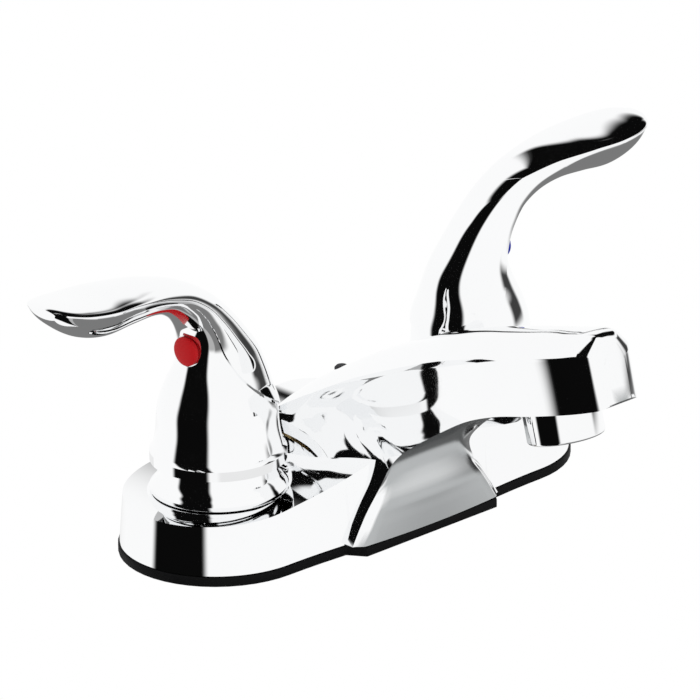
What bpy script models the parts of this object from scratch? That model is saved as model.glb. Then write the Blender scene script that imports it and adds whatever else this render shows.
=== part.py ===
"""Two-handle basin mixer tap on 102 mm centres, with a cast body, low spout and lever handles.

Units are metres, +Z is up and the spout reaches towards -Y. The origin is the middle of the gasket's
underside, on the basin's deck. The hot handle is at -X and the cold handle at +X. Both levers are at
rest in the closed position, pointing away from the spout.
"""
import bmesh
import bpy
from math import cos, pi, radians, sin
from mathutils import Matrix, Vector

MM = 0.001
GAP = 0.3 * MM                      # clearance between pieces that touch
EPS = 1.0 * MM                      # how far a cutter runs past the face that it opens

# Centres and the deck
CENTRES = 102.0 * MM                # distance between the two handle axes
END_R = 29.4 * MM                   # plan radius of the deck's round ends
FRONT_BOW = 2.7 * MM                # how far the front edge swells at the middle
DRAFT = 1.3 * MM                    # inward lean of the deck's side wall
GASKET_T = 2.9 * MM
GASKET_LIP = 0.5 * MM               # gasket seen around the casting
CROWN_LOW = 16.0 * MM               # level that the deck's crowned top falls towards
CROWN_RISE = 13.2 * MM              # rise of the crown at the middle
CROWN_REACH = 30.0 * MM             # distance from the middle at which half of it is left
PAD_Z = 18.8 * MM                   # flat seat under each handle's ring
PAD_R = 21.2 * MM
DECK_WALL = 3.2 * MM
DECK_PLATE = 3.5 * MM               # thickness of the deck under each ring

# Spout
SPOUT_FLAT_HALF_W = 4.8 * MM        # half width of the flat along the spout's top
SPOUT_SHOULDER = 4.8 * MM           # drop from that flat to the side's top edge
UNDERSIDE_RECESS = 2.4 * MM         # depth of the scoop between the side walls
RECESS_END_Y = -108.0 * MM          # where the scoop has run out, short of the tip
RECESS_FADE = 12.0 * MM
SIDE_WALL_W = 3.2 * MM              # width of each side wall beside the scoop
FOOT_HALF_W = 29.4 * MM             # half width of the scoop where it meets the basin
FOOT_PROUD = 2.3 * MM               # how far the scoop's foot stands in front of the deck
FOOT_SWELL = 1.2 * MM
PASSAGE_R = 5.6 * MM                # waterway channel inside the spout's front
SPOUT_WALL = 3.0 * MM               # wall of the hollow behind that channel
SPOUT_HOLLOW_FROM = 8               # station at which the hollow begins
ROD_HOLE_R = 2.5 * MM               # hole for a pop-up waste's lift rod
ROD_HOLE_Y = 2.0 * MM
ROD_PLUG_TOP_Z = 42.0 * MM          # the plug that closes it stands a little proud
ROD_PLUG_LEN = 11.0 * MM
ROD_PLUG_BARB_R = 2.9 * MM          # snap-in barb under the casting's wall
ROD_GASKET_HOLE_R = 3.2 * MM

# Aerator
AERATOR_Y = -91.2 * MM              # centre of the outlet's face
AERATOR_Z = 45.8 * MM
AERATOR_TILT = radians(14.0)
AERATOR_R = 11.3 * MM
AERATOR_LEN = 15.5 * MM
AERATOR_WALL = 1.6 * MM
AERATOR_LIP = 1.1 * MM
AERATOR_WASHER_T = 1.6 * MM
AERATOR_INSERT_T = 5.0 * MM
AERATOR_JETS = 6
AERATOR_JET_R = 1.3 * MM

# Handles
HOT_SWING = radians(3.7)            # how far forward of straight out each closed lever points
COLD_SWING = radians(1.9)
HOOD_Z = 28.5 * MM                  # underside of the hood's rim
HOOD_WALL = 2.4 * MM
SHELL_STEP = 0.8 * MM               # thickness of the lever's shell over the hood
SHELL_STEP_TIP = 0.3 * MM
BOSS_R = 7.6 * MM
BOSS_Z = 33.0 * MM
CAVITY_TOP_Z = 55.0 * MM
CAVITY_TAPER = 1.6 * MM             # narrowing of the cavity above the hood's last section
BUTTON_Z = 64.5 * MM
BUTTON_R = 4.35 * MM
BUTTON_FACE_U = 13.2 * MM           # distance of the button's face from the handle's axis
BUTTON_HEAD_T = 1.9 * MM
BUTTON_STUD_R = 2.7 * MM
BUTTON_STUD_L = 2.2 * MM
SCREW_R = 2.0 * MM
SCREW_LEN = 5.2 * MM
SCREW_KEY_R = 1.15 * MM
SCREW_KEY_DEPTH = 2.0 * MM

# Rings under the handles
RING_H = 8.6 * MM
RING_BASE_R = 20.2 * MM
RING_TOP_R = 16.7 * MM
RING_WALL = 1.5 * MM

# Waterway
WELL_R = 11.5 * MM
WELL_BORE_R = 9.8 * MM
WELL_FLOOR_Z = 4.5 * MM
WELL_TOP_Z = 23.6 * MM
WELL_SHOULDER_R = 13.6 * MM
WELL_SHOULDER_H = 2.0 * MM
INLET_R = 5.0 * MM
SHANK_R = 10.2 * MM
SHANK_BORE_R = 6.5 * MM
SHANK_LEN = 48.0 * MM
SPIGOT_R = 8.4 * MM                 # end of the shank that is brazed into the waterway
SPIGOT_TOP_Z = 3.2 * MM
WELL_FOOT_Z = 1.0 * MM
CROSS_R = 4.8 * MM
CROSS_BORE_R = 3.4 * MM
CROSS_Y = -5.2 * MM
CROSS_Z = 9.4 * MM
TUBE_R = 5.0 * MM
TUBE_BORE_R = 3.7 * MM
SOCKET_R = 7.0 * MM
SOCKET_DEPTH = 5.0 * MM

# Valves
CARTRIDGE_R = 9.5 * MM
CARTRIDGE_BORE_R = 8.0 * MM
CARTRIDGE_NECK_R = 7.1 * MM
CARTRIDGE_NECK_Z = 31.5 * MM
CARTRIDGE_FLANGE_R = 10.9 * MM
CARTRIDGE_FLANGE_T = 0.9 * MM
CHAMBER_TOP_Z = 13.2 * MM
PORT_W = 7.0 * MM
DISC_R = 7.7 * MM
DISC_T = 2.0 * MM
DISC_PORT_R = 1.9 * MM
SEAL_T = 1.5 * MM
SEAL_BORE_R = 4.0 * MM
STEM_R = 4.2 * MM
STEM_FOOT_R = 6.8 * MM
STEM_TOP_Z = 67.0 * MM
STEM_FLAT_U = 3.2 * MM              # flat that the set screw bears on
STEM_FLAT_Z = 59.0 * MM
NUT_R = 14.5 * MM                   # bonnet nut across its corners
NUT_LIP_T = 1.7 * MM
NUT_LIP_R = 7.4 * MM

# Fixing below the basin
BASIN_DECK_T = 20.0 * MM            # basin deck that the fixings are drawn for
SHANK_WASHER_R = 19.0 * MM
SHANK_WASHER_T = 1.6 * MM
SHANK_NUT_R = 14.5 * MM
SHANK_NUT_H = 11.0 * MM
SHANK_NUT_WING = 24.0 * MM          # reach of a wing from the shank's axis
SHANK_NUT_WING_T = 5.0 * MM

ROUND = 20                          # facets on hidden round pieces
FINE = 28                           # facets on the round pieces that show
LEVER_FACETS = 24                   # facets around the hood and the lever
WELD = 0.01 * MM                    # slivers smaller than this are closed after the cuts

# Each station of the spout is cut by a plane through an under point and a top point, given as
# (y, z) pairs in millimetres, with the half widths of the side wall at its foot and shoulder.
SPOUT_STATIONS = [
    ((-113.9, 63.0), (-109.4, 78.6), 3.4, 3.6),
    ((-113.4, 62.2), (-108.7, 80.2), 5.6, 5.9),
    ((-111.6, 61.3), (-106.9, 81.4), 7.3, 7.7),
    ((-108.2, 60.4), (-103.0, 81.0), 8.8, 9.2),
    ((-104.0, 59.2), (-98.6, 79.8), 10.2, 10.6),
    ((-98.0, 57.5), (-92.2, 78.1), 11.6, 11.9),
    ((-88.0, 54.6), (-81.6, 75.5), 12.7, 13.2),
    ((-76.3, 51.4), (-68.6, 72.0), 13.4, 14.1),
    ((-65.0, 46.9), (-54.8, 67.9), 14.1, 14.9),
    ((-54.0, 40.2), (-41.6, 63.0), 14.9, 15.8),
    ((-46.0, 34.8), (-29.0, 57.7), 15.5, 17.1),
    ((-39.8, 30.0), (-18.0, 52.6), 16.0, 19.0),
    ((-35.2, 24.6), (-7.0, 46.4), 16.2, 22.0),
    ((-33.6, 18.6), (2.0, 41.2), 18.8, 25.2),
    ((-33.2, 12.6), (9.5, 36.0), 23.4, 27.4),
    ((-33.2, 7.6), (15.5, 29.5), 26.8, 28.8),
]

# Hood and lever, cut by planes through a back point and a front point, given as (u, z) pairs in
# millimetres along the lever, with the half width and the depth of the back half of the section.
HOOD_OUTLINE = [(20.0, 28.5), (20.0, 31.4), (19.1, 32.2), (18.1, 37.3), (17.4, 45.0), (15.5, 51.0)]
LEVER_STATIONS = [
    ((-14.2, 57.0), (12.9, 57.4), 12.5, 13.4),
    ((-12.0, 62.3), (11.4, 62.6), 11.0, 11.8),
    ((-7.4, 68.6), (11.4, 67.4), 10.0, 10.4),
    ((-1.7, 75.2), (13.6, 72.2), 9.3, 8.6),
    ((5.6, 81.6), (18.0, 76.4), 9.0, 6.4),
    ((15.3, 87.0), (24.2, 79.6), 9.4, 4.6),
    ((27.5, 90.4), (30.9, 81.0), 10.5, 3.2),
    ((40.0, 91.5), (40.2, 80.9), 12.0, 1.9),
    ((50.5, 91.8), (49.6, 80.5), 12.7, 1.4),
    ((59.3, 92.6), (57.5, 82.6), 11.7, 1.4),
    ((64.9, 93.2), (63.5, 86.6), 9.0, 1.2),
    ((67.8, 93.2), (67.2, 90.4), 4.8, 0.9),
]
# Lower edge of the lever's shell, seen from the side as (u, z) in millimetres.
SHELL_EDGE = [(-26.0, 43.2), (-17.0, 43.4), (-12.0, 45.0), (-6.0, 48.6), (-1.0, 52.6), (3.0, 57.4),
              (5.8, 63.4), (8.6, 71.0), (13.4, 78.2), (19.6, 83.0), (27.0, 86.3), (35.0, 88.6),
              (44.0, 89.6), (54.0, 90.0), (61.0, 91.0), (67.0, 92.0), (76.0, 93.4)]

# Middle line of the spout's tube as (y, z) pairs in millimetres.
TUBE_LINE = [(-9.4, 15.6), (-14.0, 24.0), (-23.0, 35.5), (-38.0, 48.0), (-54.0, 56.6), (-71.5, 62.6)]

FINISHES = {
    "chrome": ((0.80, 0.81, 0.82), 1.0, 0.05),
    "brass": ((0.72, 0.56, 0.28), 1.0, 0.32),
    "copper": ((0.75, 0.42, 0.28), 1.0, 0.30),
    "stainless": ((0.60, 0.60, 0.61), 1.0, 0.30),
    "black_rubber": ((0.012, 0.012, 0.013), 0.0, 0.60),
    "black_plastic": ((0.02, 0.02, 0.022), 0.0, 0.45),
    "white_plastic": ((0.85, 0.85, 0.84), 0.0, 0.40),
    "ceramic": ((0.88, 0.87, 0.84), 0.0, 0.20),
    "red_plastic": ((0.80, 0.015, 0.03), 0.0, 0.30),
    "blue_plastic": ((0.01, 0.03, 0.55), 0.0, 0.30),
}


def clear_scene():
    """Removes whatever the file starts with."""
    for obj in list(bpy.data.objects):
        bpy.data.objects.remove(obj, do_unlink=True)


def collection(name):
    """Makes a collection in the scene."""
    coll = bpy.data.collections.new(name)
    bpy.context.scene.collection.children.link(coll)
    return coll


def finish(name, node):
    """Makes a node's own material from a named finish."""
    colour, metallic, roughness = FINISHES[name]
    mat = bpy.data.materials.new(f"{node}_{name}")
    mat.use_nodes = True
    shader = mat.node_tree.nodes["Principled BSDF"]
    shader.inputs["Base Color"].default_value = (*colour, 1.0)
    shader.inputs["Metallic"].default_value = metallic
    shader.inputs["Roughness"].default_value = roughness
    return mat


def add_mesh(name, bm, coll, finish_name=None):
    """Turns a bmesh into a linked object with one smooth-shaded material."""
    mesh = bpy.data.meshes.new(name)
    bmesh.ops.recalc_face_normals(bm, faces=bm.faces)
    bm.to_mesh(mesh)
    bm.free()
    obj = bpy.data.objects.new(name, mesh)
    coll.objects.link(obj)
    if finish_name:
        mesh.materials.append(finish(finish_name, name))
        mesh.shade_smooth()
        mesh.set_sharp_from_angle(angle=radians(32))
    else:
        obj.hide_render = True
        obj.display_type = "WIRE"
    return obj


def place(obj, location=(0, 0, 0), rotation=(0, 0, 0), parent=None):
    """Puts an object at its place, under a parent where it has one."""
    obj.location = location
    obj.rotation_euler = rotation
    obj.parent = parent
    return obj


def cut(obj, cutter, operation="DIFFERENCE"):
    """Adds an exact Boolean."""
    mod = obj.modifiers.new(cutter.name, "BOOLEAN")
    mod.operation = operation
    mod.solver = "EXACT"
    mod.object = cutter
    return obj


def close_slivers(obj):
    """Welds the slivers that the cuts leave."""
    mod = obj.modifiers.new("Slivers", "WELD")
    mod.merge_threshold = WELD
    return obj


def turned(name, profile, coll, finish_name=None, steps=ROUND, closed=False):
    """Turns (radius, z) points that run down the outer side about Z.

    An open profile starts and ends on the axis and gets flat ends. A closed one makes a ring.
    """
    bm = bmesh.new()
    points = profile if closed else profile[1:-1]
    verts = [bm.verts.new((r, 0.0, z)) for r, z in points]
    pairs = list(zip(verts, verts[1:]))
    if closed:
        pairs.append((verts[-1], verts[0]))
    for start, end in pairs:
        bm.edges.new((start, end))
    if not finish_name:
        bmesh.ops.rotate(bm, verts=bm.verts, cent=(0, 0, 0), matrix=Matrix.Rotation(pi / steps, 3, "Z"))
    if not closed:
        bmesh.ops.spin(bm, geom=bm.verts[:] + bm.edges[:], cent=(0, 0, 0), axis=(0, 0, 1), dvec=(0, 0, 0),
                       angle=2 * pi, steps=steps, use_merge=True)
        bmesh.ops.remove_doubles(bm, verts=bm.verts, dist=0.000001)
        bmesh.ops.holes_fill(bm, edges=[e for e in bm.edges if e.is_boundary], sides=0)
        return add_mesh(name, bm, coll, finish_name)
    obj = add_mesh(name, bm, coll, finish_name)
    mod = obj.modifiers.new("Turn", "SCREW")
    mod.axis = "Z"
    mod.steps = steps
    mod.render_steps = steps
    mod.use_merge_vertices = True
    mod.merge_threshold = 0.00001
    mod.use_smooth_shade = True
    return obj


def tube_profile(outer, inner, low, high):
    """Lists the corners of a plain ring's section, down its outer side."""
    return [(outer, high), (outer, low), (inner, low), (inner, high)]


def rod_profile(radius, low, high):
    """Lists the corners of a plain cylinder's half section, down its outer side."""
    return [(0.0, high), (radius, high), (radius, low), (0.0, low)]


def loft(rings):
    """Skins closed rings of equal length and caps both ends."""
    bm = bmesh.new()
    loops = [[bm.verts.new(p) for p in ring] for ring in rings]
    for low, high in zip(loops, loops[1:]):
        for i in range(len(low)):
            j = (i + 1) % len(low)
            bm.faces.new((low[i], low[j], high[j], high[i]))
    bmesh.ops.triangulate(bm, faces=bm.faces)
    bm.faces.new(loops[0][::-1])
    bm.faces.new(loops[-1])
    return bm


def smooth_line(points, t):
    """Reads a Catmull-Rom curve through the points at t, counted in points."""
    last = len(points) - 1
    i = min(int(t), last - 1)
    f = t - i
    p1, p2 = points[i], points[i + 1]
    p0 = points[i - 1] if i > 0 else tuple(2 * a - b for a, b in zip(p1, p2))
    p3 = points[i + 2] if i + 2 <= last else tuple(2 * b - a for a, b in zip(p1, p2))
    return tuple(0.5 * (2 * b + (c - a) * f + (2 * a - 5 * b + 4 * c - d) * f * f
                        + (3 * b - a - 3 * c + d) * f ** 3)
                 for a, b, c, d in zip(p0, p1, p2, p3))


def refine(points, per_step):
    """Samples that curve with a number of steps between points."""
    count = (len(points) - 1) * per_step
    return [smooth_line(points, i / per_step) for i in range(count + 1)]


def front_y(x, radius, bow):
    """Gives the deck's front edge, which swells towards the middle."""
    half = CENTRES / 2
    if abs(x) >= half:
        return -(max(radius ** 2 - (abs(x) - half) ** 2, 0.0)) ** 0.5
    return -(radius + bow * 0.5 * (1 + cos(pi * x / half)))


def deck_outline(radius, bow, arc_steps=12, line_steps=16):
    """Lists the deck's plan as front points from -X to +X, then back points from +X to -X."""
    half = CENTRES / 2
    xs = [-half - radius * cos(0.5 * pi * i / arc_steps) for i in range(arc_steps)]
    xs += [-half + CENTRES * i / line_steps for i in range(line_steps + 1)]
    xs += [-x for x in reversed(xs[:arc_steps])]
    front = [(x, front_y(x, radius, bow)) for x in xs]
    back = [(x, -front_y(x, radius, 0.0)) for x in reversed(xs[1:-1])]
    return front, back


def crown_z(x):
    """Gives the height of the deck's crowned top."""
    return CROWN_LOW + CROWN_RISE / (1 + (x / CROWN_REACH) ** 2)


def deck_solid(bottom_r, top_r, low, top_of, bow=FRONT_BOW):
    """Builds a prism on the deck's plan whose top follows a height function of x."""
    bm = bmesh.new()
    rings = []
    for radius, height in ((bottom_r, None), (top_r, top_of)):
        front, back = deck_outline(radius, bow)
        rings.append(([bm.verts.new((x, y, low if height is None else height(x))) for x, y in front],
                      [bm.verts.new((x, y, low if height is None else height(x))) for x, y in back]))
    low_ring, high_ring = (front + back for front, back in rings)
    for i, vert in enumerate(low_ring):
        j = (i + 1) % len(low_ring)
        bm.faces.new((vert, low_ring[j], high_ring[j], high_ring[i]))
    bmesh.ops.triangulate(bm, faces=bm.faces)
    bm.faces.new(low_ring[::-1])
    front, back = rings[1]
    back_row = [front[0]] + back[::-1] + [front[-1]]
    for i in range(len(front) - 1):
        corners = [front[i], front[i + 1], back_row[i + 1], back_row[i]]
        bm.faces.new([v for k, v in enumerate(corners) if v not in corners[:k]])
    return bm


def spout_section(under, top, half_low, half_high):
    """Gives one closed section of the spout, from its under middle around the +X side."""
    p = Vector((0.0, under[0] * MM, under[1] * MM))
    t = Vector((0.0, top[0] * MM, top[1] * MM))
    up = (t - p).normalized()
    height = (t - p).length
    foot = max(0.0, min(1.0, (27.0 * MM - p.z) / (15.0 * MM)))
    nose = max(0.0, min(1.0, (p.y - RECESS_END_Y) / RECESS_FADE))
    recess = UNDERSIDE_RECESS * (1 - foot) * nose
    forward = Vector((0.0, -1.0, 0.0)) * foot
    flat = min(SPOUT_FLAT_HALF_W, 0.62 * half_high * MM) * (1 - 0.5 * foot)
    mid_shift = forward * (FOOT_PROUD + FOOT_SWELL) + up * recess
    edge_shift = forward * FOOT_PROUD + up * recess
    half_low, half_high = half_low * MM, half_high * MM
    flare = half_high - half_low
    side = [
        (0.0, p + mid_shift),
        (0.45 * half_low, p + mid_shift * 0.7 + edge_shift * 0.3),
        (max(0.65 * half_low, half_low - SIDE_WALL_W), p + edge_shift),
        (half_low, p),
        (half_low + 0.12 * flare, p + up * 0.35 * height),
        (half_low + 0.48 * flare, p + up * 0.68 * height),
        (half_high, t - up * SPOUT_SHOULDER),
        (flat, t),
    ]
    right = [Vector((x, v.y, v.z)) for x, v in side]
    left = [Vector((-v.x, v.y, v.z)) for v in reversed(right[1:])]
    return right + left


def build_body(parts, cutters):
    """Casts the deck, spout and scoop as one shell and opens its cavities."""
    base_z = GASKET_T + GAP
    body = add_mesh("body_casting", deck_solid(END_R, END_R - DRAFT, base_z - EPS, crown_z), parts, "chrome")
    stations = [tuple(u) + tuple(t) + (a, b) for u, t, a, b in SPOUT_STATIONS]
    rings = [spout_section(s[0:2], s[2:4], s[4], s[5]) for s in refine(stations, 2)]
    foot_ring = spout_section((-33.2, 3.0), (21.0, 10.0), FOOT_HALF_W / MM, FOOT_HALF_W / MM)
    rings.append([Vector((v.x, v.y, base_z - EPS)) for v in foot_ring])
    spout = add_mesh("cut_spout_form", loft(rings), cutters)
    cut(body, spout, "UNION")
    bm = bmesh.new()
    bmesh.ops.create_cube(bm, size=1.0, matrix=Matrix.Translation((0, 0, base_z - 5 * MM))
                          @ Matrix.Diagonal((200 * MM, 120 * MM, 10 * MM, 1.0)))
    cut(body, add_mesh("cut_underside", bm, cutters))
    for side in (-1, 1):
        x = side * CENTRES / 2
        pad = place(turned(f"cut_pad_{side}", rod_profile(PAD_R - 0.2 * MM, base_z + DECK_WALL, PAD_Z),
                           cutters, steps=FINE), (x, 0, 0))
        cut(body, pad, "UNION")
        seat = place(turned(f"cut_seat_{side}", rod_profile(PAD_R, PAD_Z, PAD_Z + 20 * MM),
                            cutters, steps=FINE), (x, 0, 0))
        cut(body, seat)
    plate_z = PAD_Z - DECK_PLATE
    cavity = add_mesh("cut_deck_cavity", deck_solid(END_R - DECK_WALL, END_R - DECK_WALL - DRAFT,
                                                    base_z - EPS, lambda x: plate_z, 0.0), cutters)
    cut(body, cavity)
    hollow = []
    for under_y, under_z, top_y, top_z, low, high in stations[SPOUT_HOLLOW_FROM:]:
        lean = Vector((top_y - under_y, top_z - under_z)).normalized() * (SPOUT_WALL / MM)
        hollow.append(spout_section((under_y + lean.x, under_z + lean.y), (top_y - lean.x, top_z - lean.y),
                                    low - SPOUT_WALL / MM, high - SPOUT_WALL / MM))
    hollow.append([Vector((v.x, v.y, base_z - EPS)) for v in hollow[-1]])
    cut(body, add_mesh("cut_spout_hollow", loft(hollow), cutters))
    for side in (-1, 1):
        bore = place(turned(f"cut_well_bore_{side}", rod_profile(WELL_R + GAP, base_z, PAD_Z + EPS), cutters),
                     (side * CENTRES / 2, 0, 0))
        cut(body, bore)
    cut(body, tube_solid("cut_passage", PASSAGE_R, cutters, extend=(5.0 * MM, 15.0 * MM)))
    bore_len = AERATOR_LEN + AERATOR_WASHER_T + GAP
    aerator_bore = turned("cut_aerator_bore", rod_profile(AERATOR_R + GAP, 0.0, bore_len), cutters, steps=FINE)
    place(aerator_bore, (0, AERATOR_Y, AERATOR_Z), (AERATOR_TILT * -1, 0, 0))
    cut(body, aerator_bore)
    rod_hole = place(turned("cut_rod_hole", rod_profile(ROD_HOLE_R, plate_z - EPS, PAD_Z + 40 * MM), cutters,
                            steps=20), (0, ROD_HOLE_Y, 0))
    cut(body, rod_hole)
    return close_slivers(body)


def tube_solid(name, radius, coll, finish_name=None, extend=None):
    """Sweeps a round rod along the spout's tube line as a closed mesh."""
    points = [Vector((0.0, y * MM, z * MM)) for y, z in refine(TUBE_LINE, 2)]
    if extend:
        points.insert(0, points[0] + (points[0] - points[1]).normalized() * extend[0])
        points.append(points[-1] + (points[-1] - points[-2]).normalized() * extend[1])
    curve = bpy.data.curves.new(name, "CURVE")
    curve.dimensions = "3D"
    curve.bevel_depth = radius
    curve.bevel_resolution = 3
    curve.use_fill_caps = True
    spline = curve.splines.new("POLY")
    spline.points.add(len(points) - 1)
    for knot, p in zip(spline.points, points):
        knot.co = (*p, 1.0)
    source = bpy.data.objects.new(name + "_line", curve)
    coll.objects.link(source)
    bpy.context.view_layer.update()
    evaluated = source.evaluated_get(bpy.context.evaluated_depsgraph_get())
    mesh = bpy.data.meshes.new_from_object(evaluated)
    bpy.data.objects.remove(source, do_unlink=True)
    bm = bmesh.new()
    bm.from_mesh(mesh)
    bpy.data.meshes.remove(mesh)
    bmesh.ops.remove_doubles(bm, verts=bm.verts, dist=0.00001)
    return add_mesh(name, bm, coll, finish_name)


def hood_ring(radius, height, count):
    """Gives one level circle of the hood."""
    return [Vector((radius * MM * cos(2 * pi * i / count), radius * MM * sin(2 * pi * i / count), height * MM))
            for i in range(count)]


def lever_ring(station, count, offset):
    """Gives one section of the lever, whose back half is shallower than its front half."""
    (tu, tz), (bu, bz), half_w, back_depth = station
    top = Vector((tu * MM, 0.0, tz * MM))
    belly = Vector((bu * MM, 0.0, bz * MM))
    across = (belly - top).normalized()
    centre = top + across * back_depth * MM
    front_depth = (belly - centre).length
    half_w = half_w * MM + offset
    ring = []
    for i in range(count):
        a = 2 * pi * i / count
        depth = front_depth if cos(a) > 0 else back_depth * MM
        ring.append(centre + across * (depth + offset) * cos(a) + Vector((0.0, half_w * sin(a), 0.0)))
    return ring


def handle_loft(count, offset, offset_tip):
    """Builds the hood and lever as one skin, grown outward by an offset that fades to the tip."""
    rings = [hood_ring(r + offset / MM, z - (offset / MM if i == 0 else 0.0), count)
             for i, (r, z) in enumerate(HOOD_OUTLINE)]
    flat = [(t[0], t[1], b[0], b[1], w, e) for t, b, w, e in LEVER_STATIONS]
    for i, s in enumerate(flat):
        grow = offset + (offset_tip - offset) * min(1.0, i / (0.6 * len(flat)))
        rings.append(lever_ring(((s[0], s[1]), (s[2], s[3]), s[4], s[5]), count, grow))
    return loft(rings)


def side_prism(name, outline, half_w, coll):
    """Builds a prism across the lever from (u, z) points."""
    bm = loft([[Vector((u, y, z)) for u, z in outline] for y in (-half_w, half_w)])
    return add_mesh(name, bm, coll)


def build_handle(side, parent, parts, cutters):
    """Builds one handle, modelled along +X with its axis at the origin."""
    name = f"{side}_handle"
    handle = add_mesh(name, handle_loft(LEVER_FACETS, SHELL_STEP, SHELL_STEP_TIP), parts, "chrome")
    below = [(u * MM, z * MM) for u, z in SHELL_EDGE] + [(76 * MM, 20 * MM), (-26 * MM, 20 * MM)]
    trim = side_prism(f"cut_{side}_shell_edge", below, 30 * MM, cutters)
    core = add_mesh(f"cut_{side}_core", handle_loft(LEVER_FACETS, 0.0, 0.0), cutters)
    cut(trim, core)
    cut(handle, trim)
    inside = [(r * MM - HOOD_WALL, z * MM) for r, z in HOOD_OUTLINE]
    profile = [(inside[-1][0] - CAVITY_TAPER, CAVITY_TOP_Z)]
    profile += list(reversed(inside[1:]))
    profile += [(inside[0][0], HOOD_Z - EPS), (BOSS_R, HOOD_Z - EPS), (BOSS_R, BOSS_Z)]
    hollow = profile + [(BOSS_R, CAVITY_TOP_Z)]
    cavity = turned(f"cut_{side}_hood_cavity", hollow, cutters, closed=True)
    cut(handle, cavity)
    boss_end = turned(f"cut_{side}_boss_end", rod_profile(BOSS_R + EPS, HOOD_Z - 2 * EPS, BOSS_Z), cutters)
    cut(handle, boss_end)
    stem_bore = turned(f"cut_{side}_stem_bore",
                       rod_profile(STEM_R + GAP, BOSS_Z - EPS, STEM_TOP_Z + GAP), cutters)
    cut(handle, stem_bore)
    screw_end = BUTTON_FACE_U - BUTTON_HEAD_T - BUTTON_STUD_L - 2 * GAP
    screw_bore = turned(f"cut_{side}_screw_bore", rod_profile(SCREW_R + GAP, 0.0, screw_end), cutters, steps=20)
    cut(handle, place(screw_bore, (0, 0, BUTTON_Z), (0, pi / 2, 0)))
    stud_bore = turned(f"cut_{side}_stud_bore",
                       rod_profile(BUTTON_STUD_R + GAP, screw_end - GAP, BUTTON_FACE_U), cutters, steps=20)
    cut(handle, place(stud_bore, (0, 0, BUTTON_Z), (0, pi / 2, 0)))
    seat_u = BUTTON_FACE_U - BUTTON_HEAD_T - GAP
    head_bore = turned(f"cut_{side}_head_bore",
                       rod_profile(BUTTON_R + GAP, seat_u, BUTTON_FACE_U + 4 * MM), cutters, steps=ROUND)
    cut(handle, place(head_bore, (0, 0, BUTTON_Z), (0, pi / 2, 0)))
    place(close_slivers(handle), parent=parent)
    for cutter in (trim, core, cavity, boss_end, stem_bore, screw_bore, stud_bore, head_bore):
        cutter.parent = parent
    face = BUTTON_FACE_U
    head = face - BUTTON_HEAD_T
    button = turned(f"{side}_index_button",
                    [(0.0, face), (BUTTON_R - 0.5 * MM, face), (BUTTON_R, face - 0.5 * MM), (BUTTON_R, head),
                     (BUTTON_STUD_R, head), (BUTTON_STUD_R, head - BUTTON_STUD_L), (0.0, head - BUTTON_STUD_L)],
                    parts, "red_plastic" if side == "hot" else "blue_plastic")
    place(button, (0, 0, BUTTON_Z), (0, pi / 2, 0), parent)
    start = STEM_FLAT_U + GAP
    screw = turned(f"{side}_handle_screw",
                   [(0.0, start + SCREW_LEN - SCREW_KEY_DEPTH),
                    (SCREW_KEY_R, start + SCREW_LEN - SCREW_KEY_DEPTH),
                    (SCREW_KEY_R, start + SCREW_LEN), (SCREW_R, start + SCREW_LEN), (SCREW_R, start + 0.6 * MM),
                    (SCREW_R - 0.6 * MM, start), (0.0, start)], parts, "stainless", steps=18)
    place(screw, (0, 0, BUTTON_Z), (0, pi / 2, 0), parent)
    return handle


def build_ring(side, x, parts):
    """Builds the ring between a hood and the deck."""
    low = PAD_Z + GAP
    top = low + RING_H
    profile = [(RING_TOP_R - 0.6 * MM, top), (RING_TOP_R, top - 0.5 * MM), (17.5 * MM, top - 3.6 * MM),
               (19.0 * MM, top - 5.8 * MM), (RING_BASE_R, low + 1.4 * MM), (RING_BASE_R, low + 0.8 * MM),
               (19.4 * MM, low), (WELL_R + GAP, low), (WELL_R + GAP, low + RING_WALL),
               (RING_BASE_R - 2 * RING_WALL, low + RING_WALL), (17.6 * MM - RING_WALL, low + 3.4 * MM),
               (RING_TOP_R - RING_WALL, top - 1.0 * MM), (RING_TOP_R - RING_WALL, top)]
    ring = turned(f"{side}_escutcheon_ring", profile, parts, "chrome", steps=FINE, closed=True)
    return place(ring, (x, 0, 0))


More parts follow.
